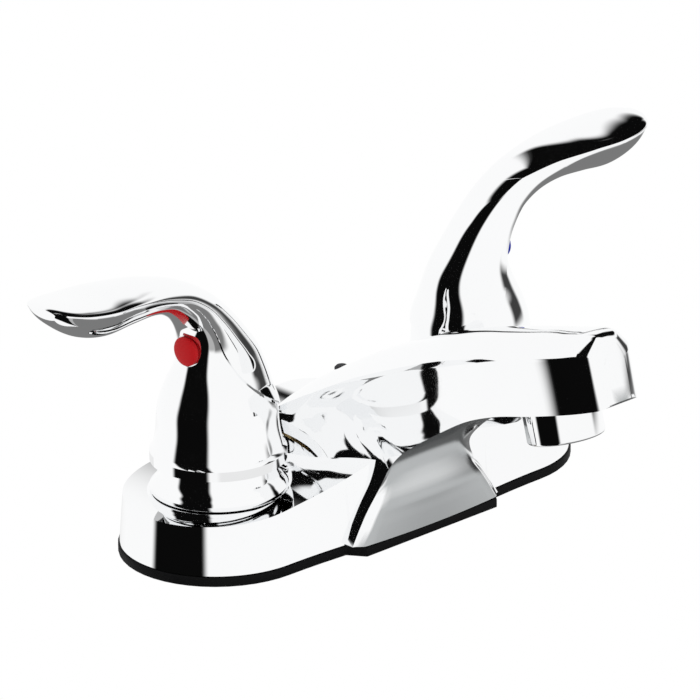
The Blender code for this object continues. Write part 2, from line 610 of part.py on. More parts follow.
def build_valve(side, x, parent, parts, cutters):
    """Stacks one quarter-turn ceramic valve in its well, with the stem's pieces under the moving parent."""
    z = WELL_FLOOR_Z + GAP
    seal = turned(f"{side}_seat_seal", tube_profile(DISC_R - 0.2 * MM, SEAL_BORE_R, z, z + SEAL_T), parts,
                  "black_rubber", closed=True)
    place(seal, (x, 0, 0))
    z += SEAL_T + GAP
    for tag, holder in (("lower", None), ("upper", parent)):
        disc = turned(f"{side}_ceramic_disc_{tag}", rod_profile(DISC_R, z, z + DISC_T), parts, "ceramic")
        for sign in (-1, 1):
            port = turned(f"cut_{side}_{tag}_port_{sign}", rod_profile(DISC_PORT_R, z - EPS, z + DISC_T + EPS),
                          cutters, steps=16)
            place(port, ((0 if holder else x), sign * 4.4 * MM, 0), parent=holder)
            cut(disc, port)
        place(disc, ((0 if holder else x), 0, 0), parent=holder)
        z += DISC_T + GAP
    flat_z = STEM_FLAT_Z
    foot_top = CHAMBER_TOP_Z - GAP
    stem = turned(f"{side}_cartridge_stem",
                  [(0.0, STEM_TOP_Z), (STEM_R - 0.6 * MM, STEM_TOP_Z), (STEM_R, STEM_TOP_Z - 0.6 * MM),
                   (STEM_R, foot_top), (STEM_FOOT_R, foot_top), (STEM_FOOT_R, z), (0.0, z)], parts, "brass")
    bm = bmesh.new()
    bmesh.ops.create_cube(bm, size=1.0, matrix=Matrix.Translation((STEM_FLAT_U + 5 * MM, 0, flat_z + 10 * MM))
                          @ Matrix.Diagonal((10 * MM, 20 * MM, 20 * MM, 1.0)))
    flat = place(add_mesh(f"cut_{side}_stem_flat", bm, cutters), parent=parent)
    cut(place(stem, parent=parent), flat)
    low = WELL_FLOOR_Z + GAP
    shoulder = WELL_TOP_Z + GAP
    neck = CARTRIDGE_NECK_R
    body = turned(f"{side}_cartridge_body",
                  [(neck, CARTRIDGE_NECK_Z), (neck, shoulder + CARTRIDGE_FLANGE_T),
                   (CARTRIDGE_FLANGE_R, shoulder + CARTRIDGE_FLANGE_T), (CARTRIDGE_FLANGE_R, shoulder),
                   (CARTRIDGE_R, shoulder), (CARTRIDGE_R, low), (CARTRIDGE_BORE_R, low),
                   (CARTRIDGE_BORE_R, CHAMBER_TOP_Z), (STEM_R + GAP, CHAMBER_TOP_Z),
                   (STEM_R + GAP, CARTRIDGE_NECK_Z)], parts, "brass", closed=True)
    bm = bmesh.new()
    bmesh.ops.create_cube(bm, size=1.0, matrix=Matrix.Translation((x, 0, 0.5 * (9.0 * MM + CHAMBER_TOP_Z)))
                          @ Matrix.Diagonal((PORT_W, 30 * MM, CHAMBER_TOP_Z - 9.0 * MM, 1.0)))
    window = add_mesh(f"cut_{side}_cartridge_window", bm, cutters)
    cut(place(body, (x, 0, 0)), window)
    return body


def build_nut(side, x, parts, cutters):
    """Builds the hexagonal nut that holds a cartridge down and clamps the casting."""
    low = PAD_Z + GAP + RING_WALL + GAP
    lip_low = WELL_TOP_Z + GAP + CARTRIDGE_FLANGE_T + GAP
    top = lip_low + NUT_LIP_T
    nut = turned(f"{side}_bonnet_nut",
                 [(0.0, top), (NUT_R - 0.9 * MM, top), (NUT_R, top - 0.6 * MM), (NUT_R, low), (0.0, low)],
                 parts, "brass", steps=6)
    bore = turned(f"cut_{side}_nut_bore",
                  [(0.0, top + EPS), (NUT_LIP_R, top + EPS), (NUT_LIP_R, lip_low), (WELL_R + GAP, lip_low),
                   (WELL_R + GAP, low - EPS), (0.0, low - EPS)], cutters)
    place(bore, (x, 0, 0))
    return cut(place(nut, (x, 0, 0)), bore)


def build_waterway(parts, cutters):
    """Builds the brass waterway: the valves' wells, a cross tube and the spout tube's socket."""
    floor = WELL_FLOOR_Z
    half = CENTRES / 2
    plate_under = PAD_Z - DECK_PLATE - GAP
    first = turned("waterway_manifold",
                   [(0.0, WELL_TOP_Z), (WELL_R - 0.5 * MM, WELL_TOP_Z), (WELL_R, WELL_TOP_Z - 0.5 * MM),
                    (WELL_R, plate_under), (WELL_SHOULDER_R, plate_under),
                    (WELL_SHOULDER_R, plate_under - WELL_SHOULDER_H),
                    (WELL_R, plate_under - WELL_SHOULDER_H - 2 * MM),
                    (WELL_R, WELL_FOOT_Z), (0.0, WELL_FOOT_Z)], parts, "brass", steps=ROUND)
    manifold = place(first, (-half, 0, 0))
    second = bpy.data.objects.new("cut_second_well", first.data.copy())
    cutters.objects.link(second)
    second.hide_render = True
    second.display_type = "WIRE"
    cut(manifold, place(second, (half, 0, 0)), "UNION")
    cross = turned("cut_cross_tube", rod_profile(CROSS_R, -half, half), cutters, steps=20)
    cut(manifold, place(cross, (0, CROSS_Y, CROSS_Z), (0, pi / 2, 0)), "UNION")
    start = Vector((0.0, TUBE_LINE[0][0] * MM, TUBE_LINE[0][1] * MM))
    ahead = Vector((0.0, TUBE_LINE[1][0] * MM, TUBE_LINE[1][1] * MM))
    lean = (ahead - start).angle(Vector((0, 0, 1)))
    foot = start - (ahead - start).normalized() * 3.0 * MM
    socket = turned("cut_socket", rod_profile(SOCKET_R, -3.5 * MM, 3.0 * MM + SOCKET_DEPTH), cutters, steps=24)
    cut(manifold, place(socket, foot, (lean, 0, 0)), "UNION")
    pocket = turned("cut_socket_pocket", rod_profile(TUBE_R + GAP, 3.0 * MM - GAP, 20 * MM), cutters, steps=24)
    cut(manifold, place(pocket, foot, (lean, 0, 0)))
    link = turned("cut_socket_bore", rod_profile(TUBE_BORE_R, -2.0 * MM, 10 * MM), cutters, steps=20)
    cut(manifold, place(link, foot, (lean, 0, 0)))
    bore = turned("cut_cross_bore", rod_profile(CROSS_BORE_R, -half, half), cutters, steps=20)
    cut(manifold, place(bore, (0, CROSS_Y, CROSS_Z), (0, pi / 2, 0)))
    for side in (-1, 1):
        well = turned(f"cut_well_{side}",
                      [(0.0, WELL_TOP_Z + EPS), (WELL_BORE_R, WELL_TOP_Z + EPS), (WELL_BORE_R, floor),
                       (INLET_R, floor), (INLET_R, SPIGOT_TOP_Z + GAP), (SPIGOT_R + GAP, SPIGOT_TOP_Z + GAP),
                       (SPIGOT_R + GAP, WELL_FOOT_Z - EPS), (0.0, WELL_FOOT_Z - EPS)], cutters)
        cut(manifold, place(well, (side * half, 0, 0)))
    return close_slivers(manifold)


def build_shank(side, x, parts):
    """Builds the threaded inlet that is brazed into the foot of a well."""
    shoulder = WELL_FOOT_Z - GAP
    shank = turned(f"{side}_inlet_shank",
                   [(SPIGOT_R, SPIGOT_TOP_Z), (SPIGOT_R, shoulder), (SHANK_R, shoulder),
                    (SHANK_R, 1.0 * MM - SHANK_LEN), (SHANK_R - 1.0 * MM, -SHANK_LEN),
                    (SHANK_BORE_R, -SHANK_LEN), (SHANK_BORE_R, SPIGOT_TOP_Z)],
                   parts, "brass", closed=True)
    return place(shank, (x, 0, 0))


def build_spout_tube(parts, cutters):
    """Builds the copper tube that runs inside the spout."""
    tube = tube_solid("spout_tube", TUBE_R, parts, "copper")
    bore = tube_solid("cut_tube_bore", TUBE_BORE_R, cutters, extend=(3.0 * MM, 3.0 * MM))
    return cut(tube, bore)


def build_aerator(parts, cutters):
    """Builds the outlet's housing with its washer and insert, square to the outlet."""
    tilt = (-AERATOR_TILT, 0, 0)
    where = (0, AERATOR_Y, AERATOR_Z)
    inner = AERATOR_R - AERATOR_WALL
    housing = turned("aerator_housing",
                     [(AERATOR_R, AERATOR_LEN), (AERATOR_R, 0.5 * MM), (AERATOR_R - 0.5 * MM, 0.0),
                      (inner - AERATOR_LIP, 0.0), (inner - AERATOR_LIP, 1.2 * MM), (inner, 1.2 * MM),
                      (inner, AERATOR_LEN)], parts, "chrome", steps=FINE, closed=True)
    place(housing, where, tilt)
    low = 1.2 * MM + GAP
    insert = turned("aerator_insert", rod_profile(inner - GAP, low, low + AERATOR_INSERT_T),
                    parts, "white_plastic")
    for i in range(AERATOR_JETS):
        a = 2 * pi * i / AERATOR_JETS
        jet = turned(f"cut_jet_{i}",
                     rod_profile(AERATOR_JET_R, low - EPS, low + AERATOR_INSERT_T + EPS), cutters,
                     steps=12)
        spot = Matrix.Rotation(-AERATOR_TILT, 3, "X") @ Vector((5.2 * MM * cos(a), 5.2 * MM * sin(a), 0.0))
        cut(insert, place(jet, Vector(where) + spot, tilt))
    place(insert, where, tilt)
    washer = turned("aerator_washer",
                    tube_profile(AERATOR_R - 0.2 * MM, 7.0 * MM, AERATOR_LEN + GAP,
                                 AERATOR_LEN + AERATOR_WASHER_T), parts, "black_rubber", closed=True)
    place(washer, where, tilt)


def build_gasket(parts, cutters):
    """Builds the rubber gasket, stepped forward under the scoop's foot."""
    radius = END_R + GASKET_LIP
    bm = deck_solid(radius, radius, 0.0, lambda x: GASKET_T)
    gasket = add_mesh("base_gasket", bm, parts, "black_rubber")
    bm = bmesh.new()
    front = -(END_R + FRONT_BOW + FOOT_PROUD + FOOT_SWELL + GASKET_LIP)
    width = 2 * (FOOT_HALF_W + GASKET_LIP)
    bmesh.ops.create_cube(bm, size=1.0, matrix=Matrix.Translation((0, 0.5 * front, 0.5 * GASKET_T))
                          @ Matrix.Diagonal((width, -front, GASKET_T, 1.0)))
    cut(gasket, add_mesh("cut_gasket_foot", bm, cutters), "UNION")
    for side in (-1, 1):
        hole = turned(f"cut_gasket_hole_{side}", rod_profile(WELL_R + GAP, -EPS, GASKET_T + EPS), cutters)
        cut(gasket, place(hole, (side * CENTRES / 2, 0, 0)))
    hole = turned("cut_gasket_rod_hole", rod_profile(ROD_GASKET_HOLE_R, -EPS, GASKET_T + EPS), cutters)
    cut(gasket, place(hole, (0, ROD_HOLE_Y, 0)))
    return gasket


def build_rod_hole_plug(parts):
    """Builds the black plug that closes the lift rod's hole."""
    top = ROD_PLUG_TOP_Z
    low = top - ROD_PLUG_LEN
    radius = ROD_HOLE_R - GAP
    plug = turned("rod_hole_plug",
                  [(0.0, top), (radius - 0.6 * MM, top), (radius, top - 0.6 * MM), (radius, low + 1.6 * MM),
                   (ROD_PLUG_BARB_R, low + 1.6 * MM), (radius - 0.4 * MM, low), (0.0, low)],
                  parts, "black_plastic")
    return place(plug, (0, ROD_HOLE_Y, 0))


def build_fixings(side, x, parts, cutters):
    """Builds the washer and winged nut that clamp the tap from under the basin."""
    top = -BASIN_DECK_T
    washer = turned(f"{side}_shank_washer",
                    tube_profile(SHANK_WASHER_R, SHANK_R + GAP, top - SHANK_WASHER_T, top), parts,
                    "black_rubber", closed=True)
    place(washer, (x, 0, 0))
    high = top - SHANK_WASHER_T - GAP
    low = high - SHANK_NUT_H
    nut = turned(f"{side}_shank_nut", rod_profile(SHANK_NUT_R, low, high), parts, "black_plastic")
    bm = bmesh.new()
    middle = Matrix.Translation((x, 0, low + 0.5 * SHANK_NUT_H - 0.4 * MM))
    size = Matrix.Diagonal((2 * SHANK_NUT_WING, SHANK_NUT_WING_T, SHANK_NUT_H - 0.8 * MM, 1.0))
    for angle in (0.0, pi / 2):
        bmesh.ops.create_cube(bm, size=1.0, matrix=middle @ Matrix.Rotation(angle + pi / 4, 4, "Z") @ size)
    wings = add_mesh(f"cut_{side}_nut_wings", bm, cutters)
    cut(place(nut, (x, 0, 0)), wings, "UNION")
    bore = turned(f"cut_{side}_shank_nut_bore", rod_profile(SHANK_R + GAP, low - EPS, high + EPS), cutters)
    cut(nut, place(bore, (x, 0, 0)))


def main():
    """Builds the whole tap."""
    clear_scene()
    parts = collection("basin_mixer_tap")
    cutters = collection("cutters")
    build_gasket(parts, cutters)
    build_body(parts, cutters)
    build_waterway(parts, cutters)
    build_spout_tube(parts, cutters)
    build_aerator(parts, cutters)
    build_rod_hole_plug(parts)
    for side, x, turn in (("hot", -CENTRES / 2, pi + HOT_SWING), ("cold", CENTRES / 2, -COLD_SWING)):
        pivot = bpy.data.objects.new(f"{side}_pivot", None)
        parts.objects.link(pivot)
        place(pivot, (x, 0, 0), (0, 0, turn))
        build_handle(side, pivot, parts, cutters)
        build_ring(side, x, parts)
        build_shank(side, x, parts)
        build_valve(side, x, pivot, parts, cutters)
        build_nut(side, x, parts, cutters)
        build_fixings(side, x, parts, cutters)
    bpy.context.view_layer.update()


main()
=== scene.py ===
"""Looks of a two-handle basin mixer tap with a cast chrome body and two lever handles.

Everything is in metres, in the same frame as the CAD part: +Z is up, the spout reaches towards -Y, the
hot handle is at -X and the cold handle at +X. Only the lists of stations and outlines, and the handle's
wall and steps, are in millimetres. The casting, handles, rings and fixings are remade here in fine meshes
with crisp edges, and the other CAD solids keep their shape and get a finish.
"""
import logging
from collections.abc import Callable, Sequence
from dataclasses import dataclass, field
from enum import Enum
from functools import reduce
from math import atan2, ceil, copysign, cos, hypot, pi, radians, sin, sqrt

import bmesh
import bpy
from mathutils import Matrix, Vector

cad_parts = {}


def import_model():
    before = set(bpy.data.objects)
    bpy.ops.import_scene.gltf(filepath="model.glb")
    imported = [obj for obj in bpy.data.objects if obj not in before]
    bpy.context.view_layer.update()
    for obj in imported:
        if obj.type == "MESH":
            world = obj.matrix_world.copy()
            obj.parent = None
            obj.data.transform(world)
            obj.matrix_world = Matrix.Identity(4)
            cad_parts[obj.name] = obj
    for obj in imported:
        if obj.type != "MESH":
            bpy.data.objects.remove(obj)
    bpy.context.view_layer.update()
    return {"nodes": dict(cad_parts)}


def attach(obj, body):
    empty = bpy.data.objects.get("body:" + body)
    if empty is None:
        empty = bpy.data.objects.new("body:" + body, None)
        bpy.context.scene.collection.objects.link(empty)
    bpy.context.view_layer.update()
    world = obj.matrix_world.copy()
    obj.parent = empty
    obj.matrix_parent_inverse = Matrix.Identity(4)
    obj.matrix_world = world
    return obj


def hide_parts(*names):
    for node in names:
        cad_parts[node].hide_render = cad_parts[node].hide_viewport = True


LOG = logging.getLogger("basin_mixer_tap")

# Sizes that more than one piece uses
MM = 0.001
GAP = 0.3 * MM
OVERLAP = 1.0 * MM
CENTRES = 102.0 * MM
HALF_CENTRES = 0.5 * CENTRES
WELL_HOLE_R = 11.8 * MM
OUTLET = (0.0, -91.2 * MM, 45.8 * MM)
OUTLET_TILT = radians(14.0)

# Facets and cuts, angles in degrees, distances, a share of a side and a colour
AROUND = 96
ROUNDING_CUTS = 3
FLAT_WITHIN = 1.0
SHARP = 38.0
ROUNDED_FROM = 40.0
CAST_SHARP = 42.0
ROUNDED_SHARP = 50.0
WELD = 0.002 * MM
PLAN_WELD = 0.01 * MM
SLIVER = 0.008 * MM
BUMP_DEPTH = 0.2 * MM
CORNER_SHARE = 0.45
WHITE = (1.0, 1.0, 1.0, 1.0)

Point = tuple[float, float]
Span = tuple[float, float]
Profile = Sequence[Point]


class Side(Enum):
    """The two handles, with the sign of their place on the X axis."""

    HOT = -1
    COLD = 1

    @property
    def label(self) -> str:
        """Gives the word that the CAD nodes' names start with."""
        return self.name.lower()

    @property
    def x(self) -> float:
        """Gives the place of the handle's axis."""
        return self.value * HALF_CENTRES

    @property
    def body(self) -> str:
        """Gives the name of the moving CAD body."""
        return f"{self.label}_lever"


SWINGS = {Side.HOT: radians(3.7), Side.COLD: radians(1.9)}


class Body(Enum):
    """CAD bodies that a fixed piece rides on."""

    TAP = "tap_body"


# Node building


class NodeMaker:
    """Adds nodes to one node tree and links them."""

    def __init__(self, tree: bpy.types.NodeTree) -> None:
        """Keeps the tree.

        Args:
            tree: The node tree of a material, group or world.
        """
        self.tree = tree

    def add(self, kind: str, inputs: dict | None = None, **settings: object) -> bpy.types.Node:
        """Adds one node.

        Args:
            kind: Blender's name of the node type.
            inputs: Values or sockets for its inputs, by name or number.
            settings: Attributes set on the node.

        Returns:
            The new node.
        """
        node = self.tree.nodes.new(kind)
        for name, value in settings.items():
            setattr(node, name, value)
        for key, value in (inputs or {}).items():
            if isinstance(value, bpy.types.NodeSocket):
                self.tree.links.new(value, node.inputs[key])
            else:
                node.inputs[key].default_value = value
        return node

    def link(self, start: bpy.types.NodeSocket, end: bpy.types.NodeSocket) -> None:
        """Links an output to an input."""
        self.tree.links.new(start, end)

    def maths(self, operation: str, *values: object) -> bpy.types.NodeSocket:
        """Adds a Math node.

        Args:
            operation: The sum that it does.
            values: Numbers or sockets, in order.

        Returns:
            Its output.
        """
        return self.add("ShaderNodeMath", dict(enumerate(values)), operation=operation).outputs[0]

    def ramp(self, value: bpy.types.NodeSocket, stops: Profile) -> bpy.types.NodeSocket:
        """Adds a grey Color Ramp that eases between its stops.

        Args:
            value: What it reads, from 0 to 1.
            stops: Position and level of each stop, in order.

        Returns:
            Its colour.
        """
        node = self.add("ShaderNodeValToRGB", {0: value})
        node.color_ramp.interpolation = "EASE"
        steps = node.color_ramp.elements
        while len(steps) < len(stops):
            steps.new(1.0)
        for step, (position, level) in zip(steps, stops):
            step.position = position
            step.color = (level, level, level, 1.0)
        return node.outputs[0]

    def mixed(self, mask: bpy.types.NodeSocket, low: Sequence[float] | bpy.types.NodeSocket,
              high: Sequence[float]) -> bpy.types.NodeSocket:
        """Mixes two colours.

        Args:
            mask: 0 for the first colour and 1 for the second.
            low: The first colour, or its socket.
            high: The second colour.

        Returns:
            The mixed colour.
        """
        first = low if isinstance(low, bpy.types.NodeSocket) else (*low, 1.0)
        inputs = {"Factor": mask, "A": first, "B": (*high, 1.0)}
        return self.add("ShaderNodeMix", inputs, data_type="RGBA").outputs["Result"]


class SurfaceGroups:
    """Shader node groups that several finishes share. Each is made once."""

    _made: dict[str, bpy.types.NodeTree] = {}

    @classmethod
    def _begin(cls, name: str, inputs: dict[str, float], outputs: Sequence[str]
               ) -> tuple[NodeMaker, bpy.types.Node, bpy.types.Node]:
        """Makes an empty group with number sockets.

        Args:
            name: The group's name.
            inputs: Names and first values of its inputs.
            outputs: Names of its outputs.

        Returns:
            A maker for the group's tree, its input node and its output node.
        """
        tree = bpy.data.node_groups.new(name, "ShaderNodeTree")
        kind = "NodeSocketFloat"
        for label, value in inputs.items():
            tree.interface.new_socket(name=label, in_out="INPUT", socket_type=kind).default_value = value
        for label in outputs:
            tree.interface.new_socket(name=label, in_out="OUTPUT", socket_type=kind)
        maker = NodeMaker(tree)
        return maker, maker.add("NodeGroupInput"), maker.add("NodeGroupOutput")

    @classmethod
    def polish(cls) -> bpy.types.NodeTree:
        """Gives the group for polished plating: faint haze, water film and ripple.

        Returns:
            A group with outputs Haze, Film and Ripple.
        """
        if "polish" not in cls._made:
            maker, entry, leave = cls._begin(
                "polished_plating", {"Haze scale": 60.0, "Ripple scale": 140.0}, ["Haze", "Film", "Ripple"])
            place = maker.add("ShaderNodeTexCoord").outputs["Object"]
            haze = maker.add("ShaderNodeTexNoise", {"Vector": place, "Scale": entry.outputs["Haze scale"],
                                                    "Detail": 3.0, "Roughness": 0.55})
            film = maker.add("ShaderNodeTexNoise", {"Vector": place, "Scale": 22.0, "Detail": 2.0})
            ripple = maker.add("ShaderNodeTexNoise", {
                "Vector": place, "Scale": entry.outputs["Ripple scale"], "Detail": 1.0})
            maker.link(maker.ramp(haze.outputs[0], [(0.35, 0.0), (0.75, 1.0)]), leave.inputs["Haze"])
            maker.link(maker.ramp(film.outputs[0], [(0.3, 0.0), (0.7, 1.0)]), leave.inputs["Film"])
            maker.link(ripple.outputs[0], leave.inputs["Ripple"])
            cls._made["polish"] = maker.tree
        return cls._made["polish"]

    @classmethod
    def grain(cls) -> bpy.types.NodeTree:
        """Gives the group for moulded, turned and cast surfaces: fine grain and broad mottle.

        Returns:
            A group with outputs Grain and Mottle.
        """
        if "grain" not in cls._made:
            maker, entry, leave = cls._begin(
                "fine_grain", {"Grain scale": 900.0, "Mottle scale": 45.0}, ["Grain", "Mottle"])
            place = maker.add("ShaderNodeTexCoord").outputs["Object"]
            fine = maker.add("ShaderNodeTexNoise", {"Vector": place, "Scale": entry.outputs["Grain scale"],
                                                    "Detail": 2.0, "Roughness": 0.6})
            broad = maker.add("ShaderNodeTexNoise", {"Vector": place, "Scale": entry.outputs["Mottle scale"],
                                                     "Detail": 4.0})
            maker.link(fine.outputs[0], leave.inputs["Grain"])
            maker.link(maker.ramp(broad.outputs[0], [(0.3, 0.0), (0.7, 1.0)]), leave.inputs["Mottle"])
            cls._made["grain"] = maker.tree
        return cls._made["grain"]


@dataclass(frozen=True)
class Finish:
    """A plain finish with a fine grain, for moulded, turned and sintered pieces."""

    name: str
    colour: tuple[float, float, float]
    shade: tuple[float, float, float]
    roughness: Span
    metallic: float = 0.0
    grain_scale: float = 900.0
    mottle_scale: float = 45.0
    bump: float = 0.05
    specular: float = 0.5

    def start(self) -> tuple[bpy.types.Material, NodeMaker, bpy.types.Node]:
        """Makes an empty material.

        Returns:
            The material, a maker for its nodes and its Principled shader.
        """
        material = bpy.data.materials.new(self.name)
        material.use_nodes = True
        shader = material.node_tree.nodes["Principled BSDF"]
        shader.inputs["Metallic"].default_value = self.metallic
        shader.inputs["Specular IOR Level"].default_value = self.specular
        return material, NodeMaker(material.node_tree), shader

    def material(self) -> bpy.types.Material:
        """Makes the material once and gives it again afterwards."""
        known = bpy.data.materials.get(self.name)
        return known if known else self.build()

    def rough(self, maker: NodeMaker, mask: bpy.types.NodeSocket) -> bpy.types.NodeSocket:
        """Gives the roughness, which a mask moves from its low to its high value."""
        low, high = self.roughness
        return maker.maths("MULTIPLY_ADD", mask, high - low, low)

    def emboss(self, maker: NodeMaker, height: bpy.types.NodeSocket, shader: bpy.types.Node) -> None:
        """Gives the shader the finish's fine relief.

        Args:
            maker: The material's node maker.
            height: The height, from 0 to 1.
            shader: The Principled shader.
        """
        bump = maker.add("ShaderNodeBump", {"Height": height, "Strength": self.bump, "Distance": BUMP_DEPTH})
        maker.link(bump.outputs[0], shader.inputs["Normal"])

    def build(self) -> bpy.types.Material:
        """Builds the finish.

        Returns:
            The new material.
        """
        material, maker, shader = self.start()
        group = maker.add("ShaderNodeGroup", node_tree=SurfaceGroups.grain())
        group.inputs["Grain scale"].default_value = self.grain_scale
        group.inputs["Mottle scale"].default_value = self.mottle_scale
        mottle = group.outputs["Mottle"]
        maker.link(maker.mixed(mottle, self.colour, self.shade), shader.inputs["Base Color"])
        maker.link(self.rough(maker, mottle), shader.inputs["Roughness"])
        self.emboss(maker, group.outputs["Grain"], shader)
        return material


@dataclass(frozen=True)
class ChromeFinish(Finish):
    """Bright chrome plating, with painted shade (a darker colour) and more haze where a mask named "recess"
    says so.
    """

    masked: bool = False
    # Painted shade: the darker colour that the mask gives the scoop under the spout.
    recess_painted_shade_colour: tuple[float, float, float] = (0.47, 0.485, 0.49)
    recess_roughness: float = 0.22

    def build(self) -> bpy.types.Material:
        """Builds the plating.

        Returns:
            The new material.
        """
        material, maker, shader = self.start()
        group = maker.add("ShaderNodeGroup", node_tree=SurfaceGroups.polish())
        colour = maker.mixed(group.outputs["Film"], self.colour, self.shade)
        rough = self.rough(maker, group.outputs["Haze"])
        if self.masked:
            mask = maker.add("ShaderNodeAttribute", attribute_name="recess").outputs["Fac"]
            # Painted shade: the mask darkens the colour of the scoop under the spout. The added roughness is
            # real haze.
            colour = maker.mixed(mask, colour, self.recess_painted_shade_colour)
            rough = maker.maths("ADD", rough, maker.maths("MULTIPLY", mask, self.recess_roughness))
        maker.link(colour, shader.inputs["Base Color"])
        maker.link(rough, shader.inputs["Roughness"])
        self.emboss(maker, group.outputs["Ripple"], shader)
        return material


PLATING = ((0.955, 0.96, 0.965), (0.94, 0.945, 0.95))
CHROME = ChromeFinish("bright_chrome", *PLATING, (0.02, 0.045), metallic=1.0, bump=0.012)
# The cast body's plating carries the painted shade and haze in the scoop under the spout.
CAST_CHROME = ChromeFinish("cast_chrome", *PLATING, (0.025, 0.05), metallic=1.0, bump=0.012, masked=True)
RUBBER = Finish("black_gasket_rubber", (0.0035, 0.0035, 0.004), (0.006, 0.006, 0.0065), (0.5, 0.68),
                grain_scale=1400.0, bump=0.25, specular=0.08)
SEAL = Finish("black_seal_rubber", (0.014, 0.014, 0.015), (0.022, 0.022, 0.022), (0.45, 0.6), bump=0.2)
BRASS = Finish("turned_brass", (0.74, 0.57, 0.29), (0.62, 0.46, 0.22), (0.24, 0.38), metallic=1.0,
               grain_scale=500.0, bump=0.12)
COPPER = Finish("drawn_copper", (0.80, 0.44, 0.29), (0.62, 0.33, 0.22), (0.22, 0.36), metallic=1.0,
                bump=0.1)
STEEL = Finish("stainless_steel", (0.60, 0.60, 0.61), (0.52, 0.52, 0.53), (0.22, 0.32), metallic=1.0,
               bump=0.1)
CERAMIC = Finish("lapped_ceramic", (0.88, 0.87, 0.84), (0.84, 0.83, 0.80), (0.10, 0.18), bump=0.04)
BLACK_PLASTIC = Finish("black_plastic", (0.018, 0.018, 0.02), (0.03, 0.03, 0.032), (0.32, 0.46),
                       bump=0.15)
WHITE_PLASTIC = Finish("white_plastic", (0.84, 0.84, 0.83), (0.79, 0.79, 0.77), (0.30, 0.42), bump=0.1)
RED_INDEX = Finish("red_index", (0.56, 0.006, 0.010), (0.50, 0.005, 0.008), (0.38, 0.46), bump=0.03,
                   specular=0.15)
BLUE_INDEX = Finish("blue_index", (0.008, 0.03, 0.45), (0.006, 0.022, 0.38), (0.38, 0.46), bump=0.03,
                    specular=0.15)


# Mesh tools


def ramped(value: float, zero: float, one: float) -> float:
    """Gives how far a value is from one place to another, kept from 0 to 1."""
    return max(0.0, min(1.0, (value - zero) / (one - zero)))


def eased(t: float) -> float:
    """Gives a share from 0 to 1 with soft ends."""
    return t * t * (3 - 2 * t)


def shares(count: int, first: int = 0) -> list[float]:
    """Gives even shares up to 1, from number first of count."""
    return [k / count for k in range(first, count + 1)]


def turns(count: int) -> list[float]:
    """Gives the angles of a circle's points."""
    return [2 * pi * k / count for k in range(count)]


def smooth_line(points: Sequence[Sequence[float]], t: float) -> tuple[float, ...]:
    """Reads a Catmull-Rom curve through points.

    Args:
        points: The points, each with the same number of values.
        t: Place on the curve, counted in points.

    Returns:
        The curve's values there.
    """
    last = len(points) - 1
    i = min(int(t), last - 1)
    f = t - i
    p1, p2 = points[i], points[i + 1]
    p0 = points[i - 1] if i > 0 else tuple(2 * a - b for a, b in zip(p1, p2))
    p3 = points[i + 2] if i + 2 <= last else tuple(2 * b - a for a, b in zip(p1, p2))
    return tuple(0.5 * (2 * b + (c - a) * f + (2 * a - 5 * b + 4 * c - d) * f * f
                        + (3 * b - a - 3 * c + d) * f ** 3)
                 for a, b, c, d in zip(p0, p1, p2, p3))


def refine(points: Sequence[Sequence[float]], per_step: int) -> list[tuple[float, ...]]:
    """Samples that curve evenly.

    Args:
        points: The curve's points.
        per_step: Number of samples between two points.

    Returns:
        The samples, both ends included.
    """
    return [smooth_line(points, i / per_step) for i in range((len(points) - 1) * per_step + 1)]


